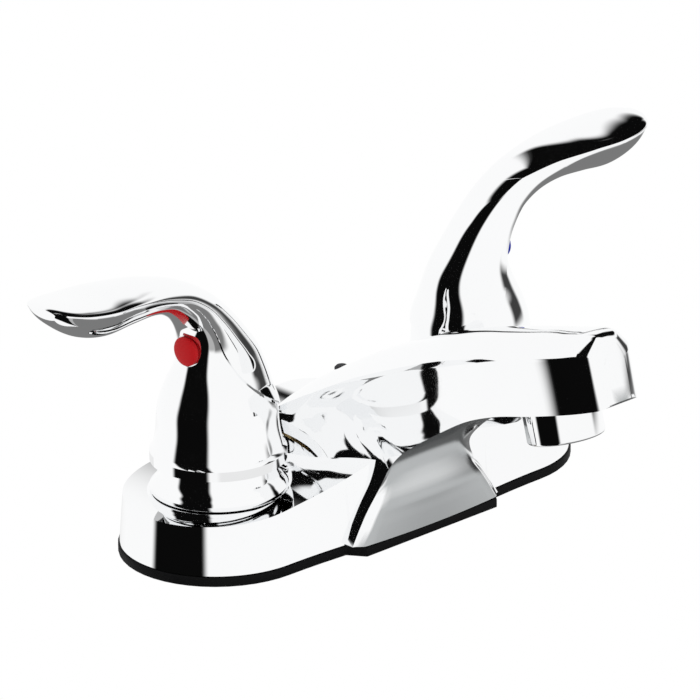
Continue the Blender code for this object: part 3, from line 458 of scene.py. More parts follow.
class Shape:
    """Turns a bmesh into an object of the scene and finishes it."""

    @staticmethod
    def shade(mesh: bpy.types.Mesh, sharp: float) -> None:
        """Shades a mesh smooth, apart from edges past an angle in degrees."""
        mesh.shade_smooth()
        mesh.set_sharp_from_angle(angle=radians(sharp))

    @staticmethod
    def add(name: str, bm: bmesh.types.BMesh, sharp: float = SHARP) -> bpy.types.Object:
        """Makes an object from a bmesh with its faces turned outwards.

        Args:
            name: The object's name.
            bm: The mesh, which is freed.
            sharp: Angle in degrees past which an edge shades sharp.

        Returns:
            The new object.
        """
        bmesh.ops.remove_doubles(bm, verts=bm.verts, dist=WELD)
        bmesh.ops.recalc_face_normals(bm, faces=bm.faces)
        mesh = bpy.data.meshes.new(name)
        bm.to_mesh(mesh)
        bm.free()
        Shape.shade(mesh, sharp)
        obj = bpy.data.objects.new(name, mesh)
        bpy.context.scene.collection.objects.link(obj)
        return obj

    @staticmethod
    def bake(obj: bpy.types.Object) -> None:
        """Applies an object's modifiers to its mesh."""
        bpy.context.view_layer.update()
        evaluated = obj.evaluated_get(bpy.context.evaluated_depsgraph_get())
        mesh = bpy.data.meshes.new_from_object(evaluated)
        old = obj.data
        obj.modifiers.clear()
        obj.data = mesh
        mesh.name = obj.name
        bpy.data.meshes.remove(old)

    @staticmethod
    def boolean(obj: bpy.types.Object, other: bpy.types.Object, operation: str = "DIFFERENCE"
                ) -> bpy.types.Object:
        """Cuts or joins with another object and removes that one.

        Args:
            obj: The object that changes.
            other: The cutter.
            operation: DIFFERENCE, UNION or INTERSECT.

        Returns:
            The changed object.
        """
        mod = obj.modifiers.new(other.name, "BOOLEAN")
        mod.operation = operation
        mod.solver = "EXACT"
        mod.object = other
        Shape.bake(obj)
        bpy.data.objects.remove(other, do_unlink=True)
        return obj

    @staticmethod
    def crisp(obj: bpy.types.Object) -> None:
        """Welds the slivers that the cuts leave and shades the object with crisp edges."""
        bm = bmesh.new()
        bm.from_mesh(obj.data)
        bmesh.ops.remove_doubles(bm, verts=bm.verts, dist=SLIVER)
        bmesh.ops.dissolve_degenerate(bm, dist=0.5 * SLIVER, edges=bm.edges)
        bmesh.ops.triangulate(bm, faces=[f for f in bm.faces if len(f.verts) > 4])
        bm.to_mesh(obj.data)
        bm.free()
        Shape.shade(obj.data, CAST_SHARP)

    @staticmethod
    def paint(obj: bpy.types.Object, finish: Finish) -> None:
        """Gives an object one finish."""
        obj.data.materials.clear()
        obj.data.materials.append(finish.material())

    @staticmethod
    def settle(obj: bpy.types.Object, finish: Finish, slot: str, body: str, node: str) -> bpy.types.Object:
        """Dresses a piece, puts it on its body in a CAD node's place and logs its size.

        Args:
            obj: The piece.
            finish: Its finish.
            slot: A material slot's name; not used.
            body: The CAD body that it rides on.
            node: The CAD node that it stands for.

        Returns:
            The same piece.
        """
        Shape.paint(obj, finish)
        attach(obj, body)
        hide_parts(node)
        LOG.info("%s: %d faces, %.1f x %.1f x %.1f mm", obj.name, len(obj.data.polygons),
                 *(d / MM for d in obj.dimensions))
        return obj


def section_skin(sections: Sequence[Sequence[Vector]]) -> bmesh.types.BMesh:
    """Skins closed sections with equally many points and closes both ends.

    Args:
        sections: The sections, each a ring of points.

    Returns:
        The skin.
    """
    bm = bmesh.new()
    rings = []
    for section in sections:
        verts = bmesh.ops.create_circle(bm, cap_ends=False, radius=1.0, segments=len(section))["verts"]
        for vert, point in zip(verts, section):
            vert.co = point
        rings.append(list(dict.fromkeys(e for v in verts for e in v.link_edges)))
    for low, high in zip(rings, rings[1:]):
        bmesh.ops.bridge_loops(bm, edges=low + high)
    bmesh.ops.holes_fill(bm, edges=[e for e in bm.edges if e.is_boundary], sides=0)
    return bm


def turned(profile: Profile, steps: int = AROUND, closed: bool = True) -> bmesh.types.BMesh:
    """Turns a section about Z.

    Args:
        profile: Points as (radius, z) in metres.
        steps: Number of facets around.
        closed: Whether the last point joins the first, as on a ring.

    Returns:
        The turned mesh.
    """
    bm = bmesh.new()
    verts = [bm.verts.new((r, 0.0, z)) for r, z in profile]
    pairs = list(zip(verts, verts[1:]))
    if closed:
        pairs.append((verts[-1], verts[0]))
    for start, end in pairs:
        bm.edges.new((start, end))
    bmesh.ops.spin(bm, geom=bm.verts[:] + bm.edges[:], cent=(0, 0, 0), axis=(0, 0, 1), dvec=(0, 0, 0),
                   angle=2 * pi, steps=steps, use_merge=True)
    bmesh.ops.remove_doubles(bm, verts=bm.verts, dist=WELD)
    return bm


def rounded(profile: Profile, radius: float, closed: bool = True, cuts: int = 4) -> list[Point]:
    """Rounds the corners of a section.

    Args:
        profile: Corner points.
        radius: Largest rounding radius, cut down on short sides.
        closed: Whether the last point joins the first.
        cuts: Number of points on each rounding.

    Returns:
        The points of the rounded section.
    """
    out: list[Point] = []
    count = len(profile)
    for i, corner in enumerate(profile):
        if not closed and i in (0, count - 1):
            out.append(corner)
            continue
        here = Vector(corner)
        before = Vector(profile[i - 1]) - here
        after = Vector(profile[(i + 1) % count]) - here
        reach = min(radius, CORNER_SHARE * before.length, CORNER_SHARE * after.length)
        start, end = here + before.normalized() * reach, here + after.normalized() * reach
        for t in shares(cuts):
            p = start * (1 - t) ** 2 + here * 2 * t * (1 - t) + end * t * t
            out.append((p.x, p.y))
    return out


def cylinder(name: str, radius: float, low: float, high: float, matrix: Matrix = Matrix(),
             segments: int = AROUND) -> bpy.types.Object:
    """Makes a plain round bar, mostly as a cutter.

    Args:
        name: The object's name.
        radius: Its radius.
        low: Height of its lower end.
        high: Height of its upper end.
        matrix: Where it goes.
        segments: Number of facets around.

    Returns:
        The bar.
    """
    bm = bmesh.new()
    bmesh.ops.create_cone(bm, cap_ends=True, segments=segments, radius1=radius, radius2=radius,
                          depth=high - low, matrix=matrix @ Matrix.Translation((0, 0, 0.5 * (low + high))))
    return Shape.add(name, bm)


def outlet_frame() -> Matrix:
    """Gives the outlet's own frame, with Z up into the spout."""
    return Matrix.Translation(OUTLET) @ Matrix.Rotation(-OUTLET_TILT, 4, "X")


# Body


@dataclass
class BodyCasting:
    """The deck, scoop and spout, cast as one piece.

    A station is the under point and the top point as y and z, then the half widths at foot and shoulder,
    in mm. The flank's points are shares of its flare and height. A span is where an effect starts and where
    it is whole: the recess by y, the foot's swell by z, and the scoop's painted shade and haze by the
    distance in from its side, by the way the surface faces and by the distance from the spout's underside.
    """

    end_r: float = 29.4 * MM
    front_bow: float = 2.7 * MM
    draft: float = 1.3 * MM
    base_z: float = 3.2 * MM
    crown_low: float = 16.0 * MM
    crown_rise: float = 13.2 * MM
    crown_reach: float = 30.0 * MM
    pad_z: float = 18.8 * MM
    pad_r: float = 21.2 * MM
    shoulder: float = 4.8 * MM
    shoulder_power: float = 1.25
    flat_half_w: float = 5.0 * MM
    flat_share: float = 0.45
    plateau_dome: float = 0.25 * MM
    flank: Profile = ((0.0, 0.0), (0.10, 0.33), (0.46, 0.68))
    side_wall: float = 3.2 * MM
    recess: float = 2.4 * MM
    recess_fade: Span = (-108.0 * MM, -96.0 * MM)
    foot_half_w: float = 29.4 * MM
    foot_proud: float = 2.3 * MM
    foot_swell: float = 1.2 * MM
    foot_blend: Span = (27.0 * MM, 12.0 * MM)
    foot_end: tuple[float, ...] = (-33.2, 3.0, 21.0, 10.0)
    rod_hole_r: float = 2.5 * MM
    rod_hole_y: float = 2.0 * MM
    rod_hole_low: float = 30.0 * MM
    outlet_r: float = 11.35 * MM
    outlet_depth: float = 17.4 * MM
    wall: float = 2.4 * MM
    plate_z: float = 15.3 * MM
    cells: tuple[int, int] = (220, 8)
    straight_share: float = 0.6
    cuts: int = 8
    lip_cuts: int = 4
    flank_cuts: int = 5
    station_cuts: int = 6
    headroom: float = 20.0 * MM
    pad_inset: float = 0.2 * MM
    pad_root: float = 3.0 * MM
    shade_and_haze_foot: float = 7.0 * MM
    shade_and_haze_side: Span = (0.6 * MM, 2.0 * MM)
    shade_and_haze_tilt: float = 0.75
    shade_and_haze_cuts: int = 4
    shade_and_haze_facing: Span = (0.32, 0.52)
    shade_and_haze_reach: Span = (7.5 * MM, 6.0 * MM)
    stations: list[tuple[float, ...]] = field(default_factory=lambda: [
        (-113.6, 63.0, -109.1, 78.6, 3.6, 3.7),
        (-113.1, 62.2, -108.4, 80.2, 6.0, 6.1),
        (-111.3, 61.3, -106.6, 81.4, 7.9, 8.1),
        (-108.2, 60.4, -103.0, 81.0, 9.8, 10.1),
        (-104.0, 59.2, -98.6, 79.8, 11.3, 11.6),
        (-98.0, 57.5, -92.2, 78.1, 12.25, 12.6),
        (-88.0, 54.6, -81.6, 75.5, 12.9, 13.4),
        (-76.3, 51.4, -68.6, 72.0, 13.4, 14.1),
        (-65.0, 46.9, -54.8, 67.9, 14.1, 14.9),
        (-54.0, 40.2, -41.6, 63.0, 14.9, 15.8),
        (-46.0, 34.8, -29.0, 57.7, 15.5, 17.1),
        (-39.8, 30.0, -18.0, 52.6, 16.0, 19.0),
        (-35.2, 24.6, -7.0, 46.4, 16.2, 22.0),
        (-33.6, 18.6, 2.0, 41.2, 18.8, 25.2),
        (-33.2, 12.6, 9.5, 36.0, 23.4, 27.4),
        (-33.2, 7.6, 15.5, 29.5, 26.8, 28.8)])

    def crown_z(self, x: float) -> float:
        """Gives the height of the deck's crowned top at x."""
        return self.crown_low + self.crown_rise / (1 + (x / self.crown_reach) ** 2)

    def front_y(self, x: float, radius: float) -> float:
        """Gives the deck's front edge, which swells towards the middle.

        Args:
            x: Place along the deck.
            radius: Plan radius of the round ends.

        Returns:
            The edge's y.
        """
        if abs(x) >= HALF_CENTRES:
            return -sqrt(max(radius ** 2 - (abs(x) - HALF_CENTRES) ** 2, 0.0))
        return -(radius + self.front_bow * 0.5 * (1 + cos(pi * x / HALF_CENTRES)))

    def back_y(self, x: float, radius: float) -> float:
        """Gives the deck's straight back edge and round ends, with the same inputs."""
        return sqrt(max(radius ** 2 - max(abs(x) - HALF_CENTRES, 0.0) ** 2, 0.0))

    def deck(self) -> bpy.types.Object:
        """Builds the deck, with its crowned top and leaning wall, as a closed solid."""
        return Shape.add("body_deck", self.block(self.end_r, self.draft, None))

    def block(self, end_r: float, draft: float, top: float | None) -> bmesh.types.BMesh:
        """Builds a closed solid of the deck's plan from a grid, which is extruded and then bent.

        Args:
            end_r: Plan radius of the round ends at the bottom.
            draft: Inward lean of the side wall.
            top: Level of a flat top, or None for the crowned top.

        Returns:
            The solid.
        """
        bm = bmesh.new()
        bmesh.ops.create_grid(bm, x_segments=self.cells[0], y_segments=self.cells[1], size=1.0)
        made = bmesh.ops.extrude_face_region(bm, geom=bm.faces[:])
        upper = {g for g in made["geom"] if isinstance(g, bmesh.types.BMVert)}
        for vert in bm.verts:
            u, v = vert.co.x, 0.5 * (vert.co.y + 1)
            radius = end_r - draft if vert in upper else end_r
            if abs(u) <= self.straight_share:
                x = u / self.straight_share * HALF_CENTRES
            else:
                turn = 0.5 * pi * (abs(u) - self.straight_share) / (1 - self.straight_share)
                x = copysign(HALF_CENTRES + radius * sin(turn), u)
            front, back = self.front_y(x, radius), self.back_y(x, radius)
            high = self.crown_z(x) if top is None else top
            low = self.base_z if top is None else self.base_z - OVERLAP
            vert.co = (x, front + (back - front) * v, high if vert in upper else low)
        bmesh.ops.remove_doubles(bm, verts=bm.verts, dist=PLAN_WELD)
        return bm

    def spout_section(self, station: Sequence[float]) -> list[Vector]:
        """Gives one closed section of the spout, from its under middle around the +X side.

        Args:
            station: The station.

        Returns:
            The section's points.
        """
        under_y, under_z, top_y, top_z, half_low, half_high = (v * MM for v in station)
        under, top = Vector((0.0, under_y, under_z)), Vector((0.0, top_y, top_z))
        up, height = (top - under).normalized(), (top - under).length
        foot = eased(ramped(under.z, *self.foot_blend))
        lift = up * (self.recess * (1 - foot) * ramped(under_y, *self.recess_fade))
        forward = Vector((0.0, -1.0, 0.0)) * foot
        middle = forward * (self.foot_proud + self.foot_swell) + lift
        edge = forward * self.foot_proud + lift
        inner = half_low - self.side_wall
        side = [(s * inner, under + middle * (1 - s * s) + edge * s * s) for s in shares(self.cuts)[:-1]]
        side += [(inner + s * self.side_wall, under + edge * (1 - eased(s))) for s in shares(self.lip_cuts)]
        wall = [(half_low + out * (half_high - half_low), h) for out, h in self.flank]
        wall.append((half_high, 1 - self.shoulder / height))
        side += [(x, under + up * h * height) for x, h in refine(wall, self.flank_cuts)[1:]]
        flat = min(self.flat_half_w, self.flat_share * half_high)
        for s in shares(self.cuts, 1):
            drop = self.shoulder * (1 - s) ** self.shoulder_power
            side.append((half_high + (flat - half_high) * s, top - up * drop))
        for s in shares(self.lip_cuts, 1):
            side.append((flat * (1 - s), top + up * self.plateau_dome * s * (2 - s)))
        right = [Vector((x, v.y, v.z)) for x, v in side]
        left = [Vector((-v.x, v.y, v.z)) for v in reversed(right[1:-1])]
        return right + left

    def spout(self) -> bpy.types.Object:
        """Skins the spout down to its foot in the deck.

        Returns:
            The spout as a closed solid.
        """
        rings = [self.spout_section(s) for s in refine(self.stations, self.station_cuts)]
        wide = self.foot_half_w / MM
        foot = self.spout_section((*self.foot_end, wide, wide))
        rings.append([Vector((v.x, v.y, self.base_z)) for v in foot])
        return Shape.add("body_spout", section_skin(rings))

    def mark_recess_shade_and_haze(self, obj: bpy.types.Object) -> None:
        """Writes a mask of the scoop under the spout to the mesh, which gives it painted shade (a darker
        colour) and more haze.

        Args:
            obj: The finished casting.
        """
        mask = obj.data.attributes.new("recess", "FLOAT", "POINT")
        fine = refine(self.stations, self.shade_and_haze_cuts)
        values = []
        for vert in obj.data.vertices:
            x, y, z = vert.co
            near = min(fine, key=lambda s: hypot(s[0] * MM - y, s[1] * MM - z))
            width = near[4] * MM if z > self.shade_and_haze_foot else self.foot_half_w
            inside = ramped(width - abs(x), *self.shade_and_haze_side)
            # The painted shade is strongest where the surface faces forward and down, into the shade under
            # the spout.
            facing = ramped(-self.shade_and_haze_tilt * (vert.normal.y + vert.normal.z), *self.shade_and_haze_facing)
            close = ramped(hypot(near[0] * MM - y, near[1] * MM - z), *self.shade_and_haze_reach)
            values.append(inside * facing * close)
        mask.data.foreach_set("value", values)

    def build(self) -> bpy.types.Object:
        """Builds the casting, opens its bores and dresses it.

        Returns:
            The finished piece.
        """
        body = Shape.boolean(self.deck(), self.spout(), "UNION")
        top, clear = self.pad_z, self.pad_z + self.headroom
        for side in Side:
            move = Matrix.Translation((side.x, 0, 0))
            pad = cylinder("pad", self.pad_r - self.pad_inset, self.base_z + self.pad_root, top, move)
            Shape.boolean(body, pad, "UNION")
            Shape.boolean(body, cylinder("seat", self.pad_r, top, clear, move))
            Shape.boolean(body, cylinder("well", WELL_HOLE_R, 0.0, top + OVERLAP, move))
        Shape.boolean(body, cylinder("outlet", self.outlet_r, 0.0, self.outlet_depth, outlet_frame()))
        hole = Matrix.Translation((0, self.rod_hole_y, 0))
        rod_top = clear + self.headroom
        Shape.boolean(body, cylinder("rod_hole", self.rod_hole_r, self.rod_hole_low, rod_top, hole))
        Shape.boolean(body, Shape.add("deck_cavity", self.block(self.end_r - self.wall, 0.0, self.plate_z)))
        Shape.crisp(body)
        body.name = "cast_body"
        # Marks the scoop for painted shade and more haze.
        self.mark_recess_shade_and_haze(body)
        return Shape.settle(body, CAST_CHROME, "chrome", Body.TAP.value, "body_casting")


# Handles


@dataclass
class LeverHandle:
    """One hood with its lever and raised shell, modelled along +X and then turned into place.

    The hood's points are radius and height, and the first of its flank is number rim. A lever's station is
    the back point and the front point as x and z, the half width, and the depth of the back half. Those,
    the shell's edge, the wall and the steps are in mm. The step fades over a share of the lever.
    """

    side: Side
    swing: float
    hood: list[Point] = field(default_factory=lambda: [
        (20.0, 28.5), (20.0, 31.4), (19.1, 32.2), (18.1, 37.3), (17.4, 45.0), (15.5, 51.0)])
    lever: list[tuple[float, ...]] = field(default_factory=lambda: [
        (-14.2, 57.0, 12.9, 57.4, 12.5, 13.4),
        (-12.0, 62.3, 11.4, 62.6, 11.0, 11.8),
        (-7.4, 68.6, 11.4, 67.4, 10.0, 10.4),
        (-1.7, 75.2, 13.6, 72.2, 9.3, 8.6),
        (5.6, 81.6, 18.0, 76.4, 9.0, 6.4),
        (15.3, 87.0, 24.2, 79.6, 9.4, 4.6),
        (27.5, 90.4, 30.9, 81.0, 10.5, 3.2),
        (40.0, 91.5, 40.2, 80.9, 12.0, 1.9),
        (50.5, 91.8, 49.6, 80.5, 12.7, 1.4),
        (59.3, 92.6, 57.5, 82.6, 11.7, 1.4),
        (64.9, 93.2, 63.5, 86.6, 9.0, 1.2),
        (67.8, 93.2, 67.2, 90.4, 4.8, 0.9)])
    shell_edge: list[Point] = field(default_factory=lambda: [
        (-26.0, 43.2), (-17.0, 43.4), (-12.0, 45.0), (-6.0, 48.6), (-1.0, 52.6), (3.0, 57.4),
        (5.8, 63.4), (8.6, 71.0), (13.4, 78.2), (19.6, 83.0), (27.0, 86.3), (35.0, 88.6),
        (44.0, 89.6), (54.0, 90.0), (61.0, 91.0), (67.0, 92.0), (76.0, 93.4)])
    rim: int = 2
    station_cuts: int = 8
    edge_cuts: int = 4
    wall: float = 2.4
    step: float = 0.8
    step_tip: float = 0.3
    step_fade: float = 0.6
    trim_low: float = 20.0 * MM
    trim_half_w: float = 30.0 * MM
    cavity_low: float = 26.0 * MM
    cavity_top: float = 55.0 * MM
    mouth_r: float = 17.6 * MM
    roof_r: float = 11.5 * MM
    boss_r: float = 7.6 * MM
    boss_z: float = 33.0 * MM
    stem_r: float = 4.5 * MM
    stem_top: float = 67.3 * MM
    screw_r: float = 3.0 * MM
    button_z: float = 64.5 * MM
    button_r: float = 4.35 * MM
    button_face: float = 13.2 * MM
    button_head: float = 1.9 * MM
    button_room: float = 4.0 * MM
    button_dome: float = 0.7 * MM
    button_edge: float = 0.25 * MM
    stud_r: float = 2.7 * MM
    stud_length: float = 2.2 * MM
    dome_cuts: int = 8
    button_facets: int = 64

    @property
    def turn(self) -> Matrix:
        """Gives the matrix from the handle's own frame to the part's."""
        angle = pi + self.swing if self.side is Side.HOT else -self.swing
        return Matrix.Translation((self.side.x, 0, 0)) @ Matrix.Rotation(angle, 4, "Z")

    @property
    def button_frame(self) -> Matrix:
        """Gives the button's frame in the handle's own, with Z out through the button."""
        return Matrix.Translation((0, 0, self.button_z)) @ Matrix.Rotation(pi / 2, 4, "Y")

    def hood_ring(self, radius: float, height: float) -> list[Vector]:
        """Gives one level circle of the hood, in mm."""
        return [Vector((radius * cos(a), radius * sin(a), height)) for a in turns(AROUND)]

    def lever_ring(self, station: Sequence[float], grow: float) -> list[Vector]:
        """Gives one section of the lever.

        Args:
            station: The station.
            grow: How far the section grows outwards, in mm.

        Returns:
            The section's points, in mm.
        """
        tu, tz, bu, bz, half_w, back = station
        top, belly = Vector((tu, 0.0, tz)), Vector((bu, 0.0, bz))
        across = (belly - top).normalized()
        centre = top + across * back
        front = (belly - centre).length
        ring = []
        for a in turns(AROUND):
            depth = (front if cos(a) > 0 else back) + grow
            ring.append(centre + across * depth * cos(a) + Vector((0.0, (half_w + grow) * sin(a), 0.0)))
        return ring

    def skin(self, name: str, step: float, step_tip: float) -> bpy.types.Object:
        """Skins the hood and lever, grown by a step that fades to the tip.

        Args:
            name: The object's name.
            step: Growth at the hood, in mm.
            step_tip: Growth at the tip, in mm.

        Returns:
            The closed skin.
        """
        foot_r, foot_z = self.hood[0]
        rings = [self.hood_ring(foot_r + step, foot_z - step)]
        rings += [self.hood_ring(r + step, z) for r, z in self.hood[1:self.rim + 1]]
        flank = [(-r, z, r, z, r, r) for r, z in self.hood[self.rim:]] + self.lever
        count = len(self.lever)
        start = len(flank) - count
        for k, station in enumerate(refine(flank, self.station_cuts)[1:], 1):
            share = ramped(k / self.station_cuts - start, 0.0, self.step_fade * count)
            rings.append(self.lever_ring(station, step + (step_tip - step) * share))
        return Shape.add(name, section_skin([[p * MM for p in ring] for ring in rings]))

    def trim(self) -> bpy.types.Object:
        """Builds the cutter that takes the step away below the shell's edge.

        Returns:
            The cutter, with the plain hood and lever left out of it.
        """
        edge = [(u * MM, z * MM) for u, z in refine(self.shell_edge, self.edge_cuts)]
        ends = (self.shell_edge[-1][0], self.shell_edge[0][0])
        below = edge + [(u * MM, self.trim_low) for u in ends]
        bm = bmesh.new()
        bmesh.ops.create_circle(bm, cap_ends=True, radius=1.0, segments=len(below))
        for vert, (u, z) in zip(list(bm.verts), below):
            vert.co = (u, -self.trim_half_w, z)
        made = bmesh.ops.extrude_face_region(bm, geom=bm.faces[:])
        verts = [g for g in made["geom"] if isinstance(g, bmesh.types.BMVert)]
        bmesh.ops.translate(bm, verts=verts, vec=(0, 2 * self.trim_half_w, 0))
        return Shape.boolean(Shape.add("trim", bm), self.skin("core", 0.0, 0.0))

    def cavity(self) -> bpy.types.Object:
        """Builds the cutter that hollows the hood around its boss.

        Returns:
            The cutter.
        """
        profile = [(self.boss_r, self.cavity_top), (self.boss_r, self.cavity_low),
                   (self.mouth_r, self.cavity_low)]
        profile += [((r - self.wall) * MM, z * MM) for r, z in self.hood[self.rim:]]
        return Shape.add("cavity", turned(profile + [(self.roof_r, self.cavity_top)]))

    def build(self) -> bpy.types.Object:
        """Builds the handle and dresses it.

        Returns:
            The finished piece.
        """
        handle = self.skin(f"{self.side.label}_lever_handle", self.step, self.step_tip)
        Shape.boolean(handle, self.trim())
        Shape.boolean(handle, self.cavity())
        Shape.boolean(handle, cylinder("boss_end", self.boss_r + OVERLAP, self.cavity_low, self.boss_z))
        Shape.boolean(handle, cylinder("stem_bore", self.stem_r, self.boss_z - OVERLAP, self.stem_top))
        across, face = self.button_frame, self.button_face
        Shape.boolean(handle, cylinder("screw_bore", self.screw_r, 0.0, face, across))
        seat = face - self.button_head - GAP
        room = face + self.button_room
        Shape.boolean(handle, cylinder("button_seat", self.button_r + GAP, seat, room, across))
        Shape.crisp(handle)
        handle.data.transform(self.turn)
        return Shape.settle(handle, CHROME, "chrome", self.side.body, f"{self.side.label}_handle")

    def build_button(self) -> bpy.types.Object:
        """Builds the domed colour button and its stud.

        Returns:
            The finished piece.
        """
        face, head, r = self.button_face, self.button_face - self.button_head, self.button_r
        dome = [(r * sin(0.5 * pi * s), face - self.button_dome * (1 - cos(0.5 * pi * s)))
                for s in shares(self.dome_cuts)]
        end = head - self.stud_length
        stud = [dome[-1], (r, head), (self.stud_r, head), (self.stud_r, end), (0.0, end)]
        profile = dome + rounded(stud, self.button_edge, closed=False)[1:]
        label = self.side.label
        button = Shape.add(f"{label}_button", turned(profile, self.button_facets, closed=False))
        button.data.transform(self.turn @ self.button_frame)
        finish = RED_INDEX if self.side is Side.HOT else BLUE_INDEX
        return Shape.settle(button, finish, f"{label}_index", self.side.body, f"{label}_index_button")


@dataclass
class EscutcheonRing:
    """The turned ring between a hood and the deck.

    The waist's points are a radius and a depth under the ring's top.
    """

    side: Side
    low: float = 19.1 * MM
    height: float = 8.6 * MM
    base_r: float = 20.2 * MM
    base_h: float = 1.4 * MM
    waist: Profile = ((17.5 * MM, 3.6 * MM), (19.0 * MM, 5.8 * MM))
    top_r: float = 16.7 * MM
    wall: float = 1.5 * MM
    hollow_r: Span = (17.2 * MM, 16.1 * MM)
    hollow_h: float = 3.4 * MM
    edge: float = 0.5 * MM
    cuts: int = 6
    facets: int = 160

    def build(self) -> bpy.types.Object:
        """Builds the ring and dresses it.

        Returns:
            The finished piece.
        """
        low, top, floor = self.low, self.low + self.height, self.low + self.wall
        rim, lip = (self.base_r, low + self.base_h), (self.top_r - self.wall, top)
        outer = [(self.top_r, top), *((r, top - drop) for r, drop in self.waist), rim]
        under = [rim, (self.base_r, low), (WELL_HOLE_R, low), (WELL_HOLE_R, floor),
                 (self.hollow_r[0], floor), (self.hollow_r[1], low + self.hollow_h), lip]
        profile = [lip] + refine(outer, self.cuts) + rounded(under, self.edge, closed=False)[1:-1]
        ring = Shape.add(f"{self.side.label}_ring", turned(profile, self.facets))
        ring.data.transform(Matrix.Translation((self.side.x, 0, 0)))
        return Shape.settle(ring, CHROME, "chrome", Body.TAP.value, f"{self.side.label}_escutcheon_ring")


# Outlet, gasket and fixings


@dataclass
class Aerator:
    """The chrome outlet housing and its moulded insert.

    A ring of jets is a count, the distance of the jets from the middle and their radius.
    """

    radius: float = 11.3 * MM
    length: float = 15.5 * MM
    wall: float = 1.6 * MM
    lip: float = 1.1 * MM
    lip_t: float = 1.2 * MM
    edge: float = 0.7 * MM
    insert_t: float = 5.0 * MM
    jets: tuple[tuple[int, float, float], ...] = ((6, 3.2 * MM, 0.8 * MM), (12, 6.4 * MM, 0.9 * MM))
    facets: int = 128
    insert_facets: int = 64
    jet_facets: int = 16

    def build(self) -> bpy.types.Object:
        """Builds the housing and dresses it.

        Returns:
            The finished piece.
        """
        inner = self.radius - self.wall
        corners = [(self.radius, self.length), (self.radius, 0.0), (inner - self.lip, 0.0),
                   (inner - self.lip, self.lip_t), (inner, self.lip_t), (inner, self.length)]
        housing = Shape.add("outlet_housing", turned(rounded(corners, self.edge), self.facets))
        housing.data.transform(outlet_frame())
        return Shape.settle(housing, CHROME, "chrome", Body.TAP.value, "aerator_housing")

    def build_insert(self) -> bpy.types.Object:
        """Builds the insert with its rings of jets and dresses it.

        Returns:
            The finished piece.
        """
        radius, low = self.radius - self.wall - GAP, self.lip_t + GAP
        insert = cylinder("outlet_insert", radius, low, low + self.insert_t, segments=self.insert_facets)
        through = 1.5 * self.insert_t
        for count, reach, size in self.jets:
            for a in turns(count):
                spot = Matrix.Translation((reach * cos(a), reach * sin(a), 0.0))
                Shape.boolean(insert, cylinder("jet", size, -through, through, spot, self.jet_facets))
        insert.data.transform(outlet_frame())
        return Shape.settle(insert, WHITE_PLASTIC, "white_plastic", Body.TAP.value, "aerator_insert")


@dataclass
class BaseGasket:
    """The black rubber gasket, from the CAD solid with rounded edges and the foot's corners cut back."""

    bevel: float = 0.5 * MM
    foot_front: float = -36.0 * MM
    foot_half_w: float = 26.3 * MM

    def corner(self, point: Vector) -> Vector:
        """Gives the place of one of the CAD gasket's points with the foot's front corners cut back."""
        if point.y > self.foot_front or abs(point.x) < self.foot_half_w:
            return point
        return Vector((copysign(self.foot_half_w, point.x), point.y, point.z))

    def build(self) -> bpy.types.Object:
        """Builds the gasket and dresses it.

        Returns:
            The finished piece.
        """
        gasket = soften("base_gasket", "rubber_gasket", self.bevel, self.corner)
        return Shape.settle(gasket, RUBBER, "gasket_rubber", Body.TAP.value, "base_gasket")


def soften(node: str, name: str, width: float, move: Callable[[Vector], Vector] = Vector
           ) -> bpy.types.Object:
    """Copies a CAD node and rounds its sharp edges.

    Args:
        node: The CAD node.
        name: The new object's name.
        width: The rounding's width.
        move: Gives a point's new place, where the shape differs from the CAD node's.

    Returns:
        The new object.
    """
    bm = bmesh.new()
    bm.from_mesh(bpy.data.objects[node].data)
    for vert in bm.verts:
        vert.co = move(vert.co)
    bmesh.ops.remove_doubles(bm, verts=bm.verts, dist=PLAN_WELD)
    bmesh.ops.dissolve_limit(bm, angle_limit=radians(FLAT_WITHIN), verts=bm.verts, edges=bm.edges,
                             use_dissolve_boundaries=False)
    obj = Shape.add(name, bm)
    mod = obj.modifiers.new("Round", "BEVEL")
    mod.width = width
    mod.segments = ROUNDING_CUTS
    mod.limit_method = "ANGLE"
    mod.angle_limit = radians(ROUNDED_FROM)
    mod.use_clamp_overlap = True
    Shape.bake(obj)
    Shape.shade(obj.data, ROUNDED_SHARP)
    return obj


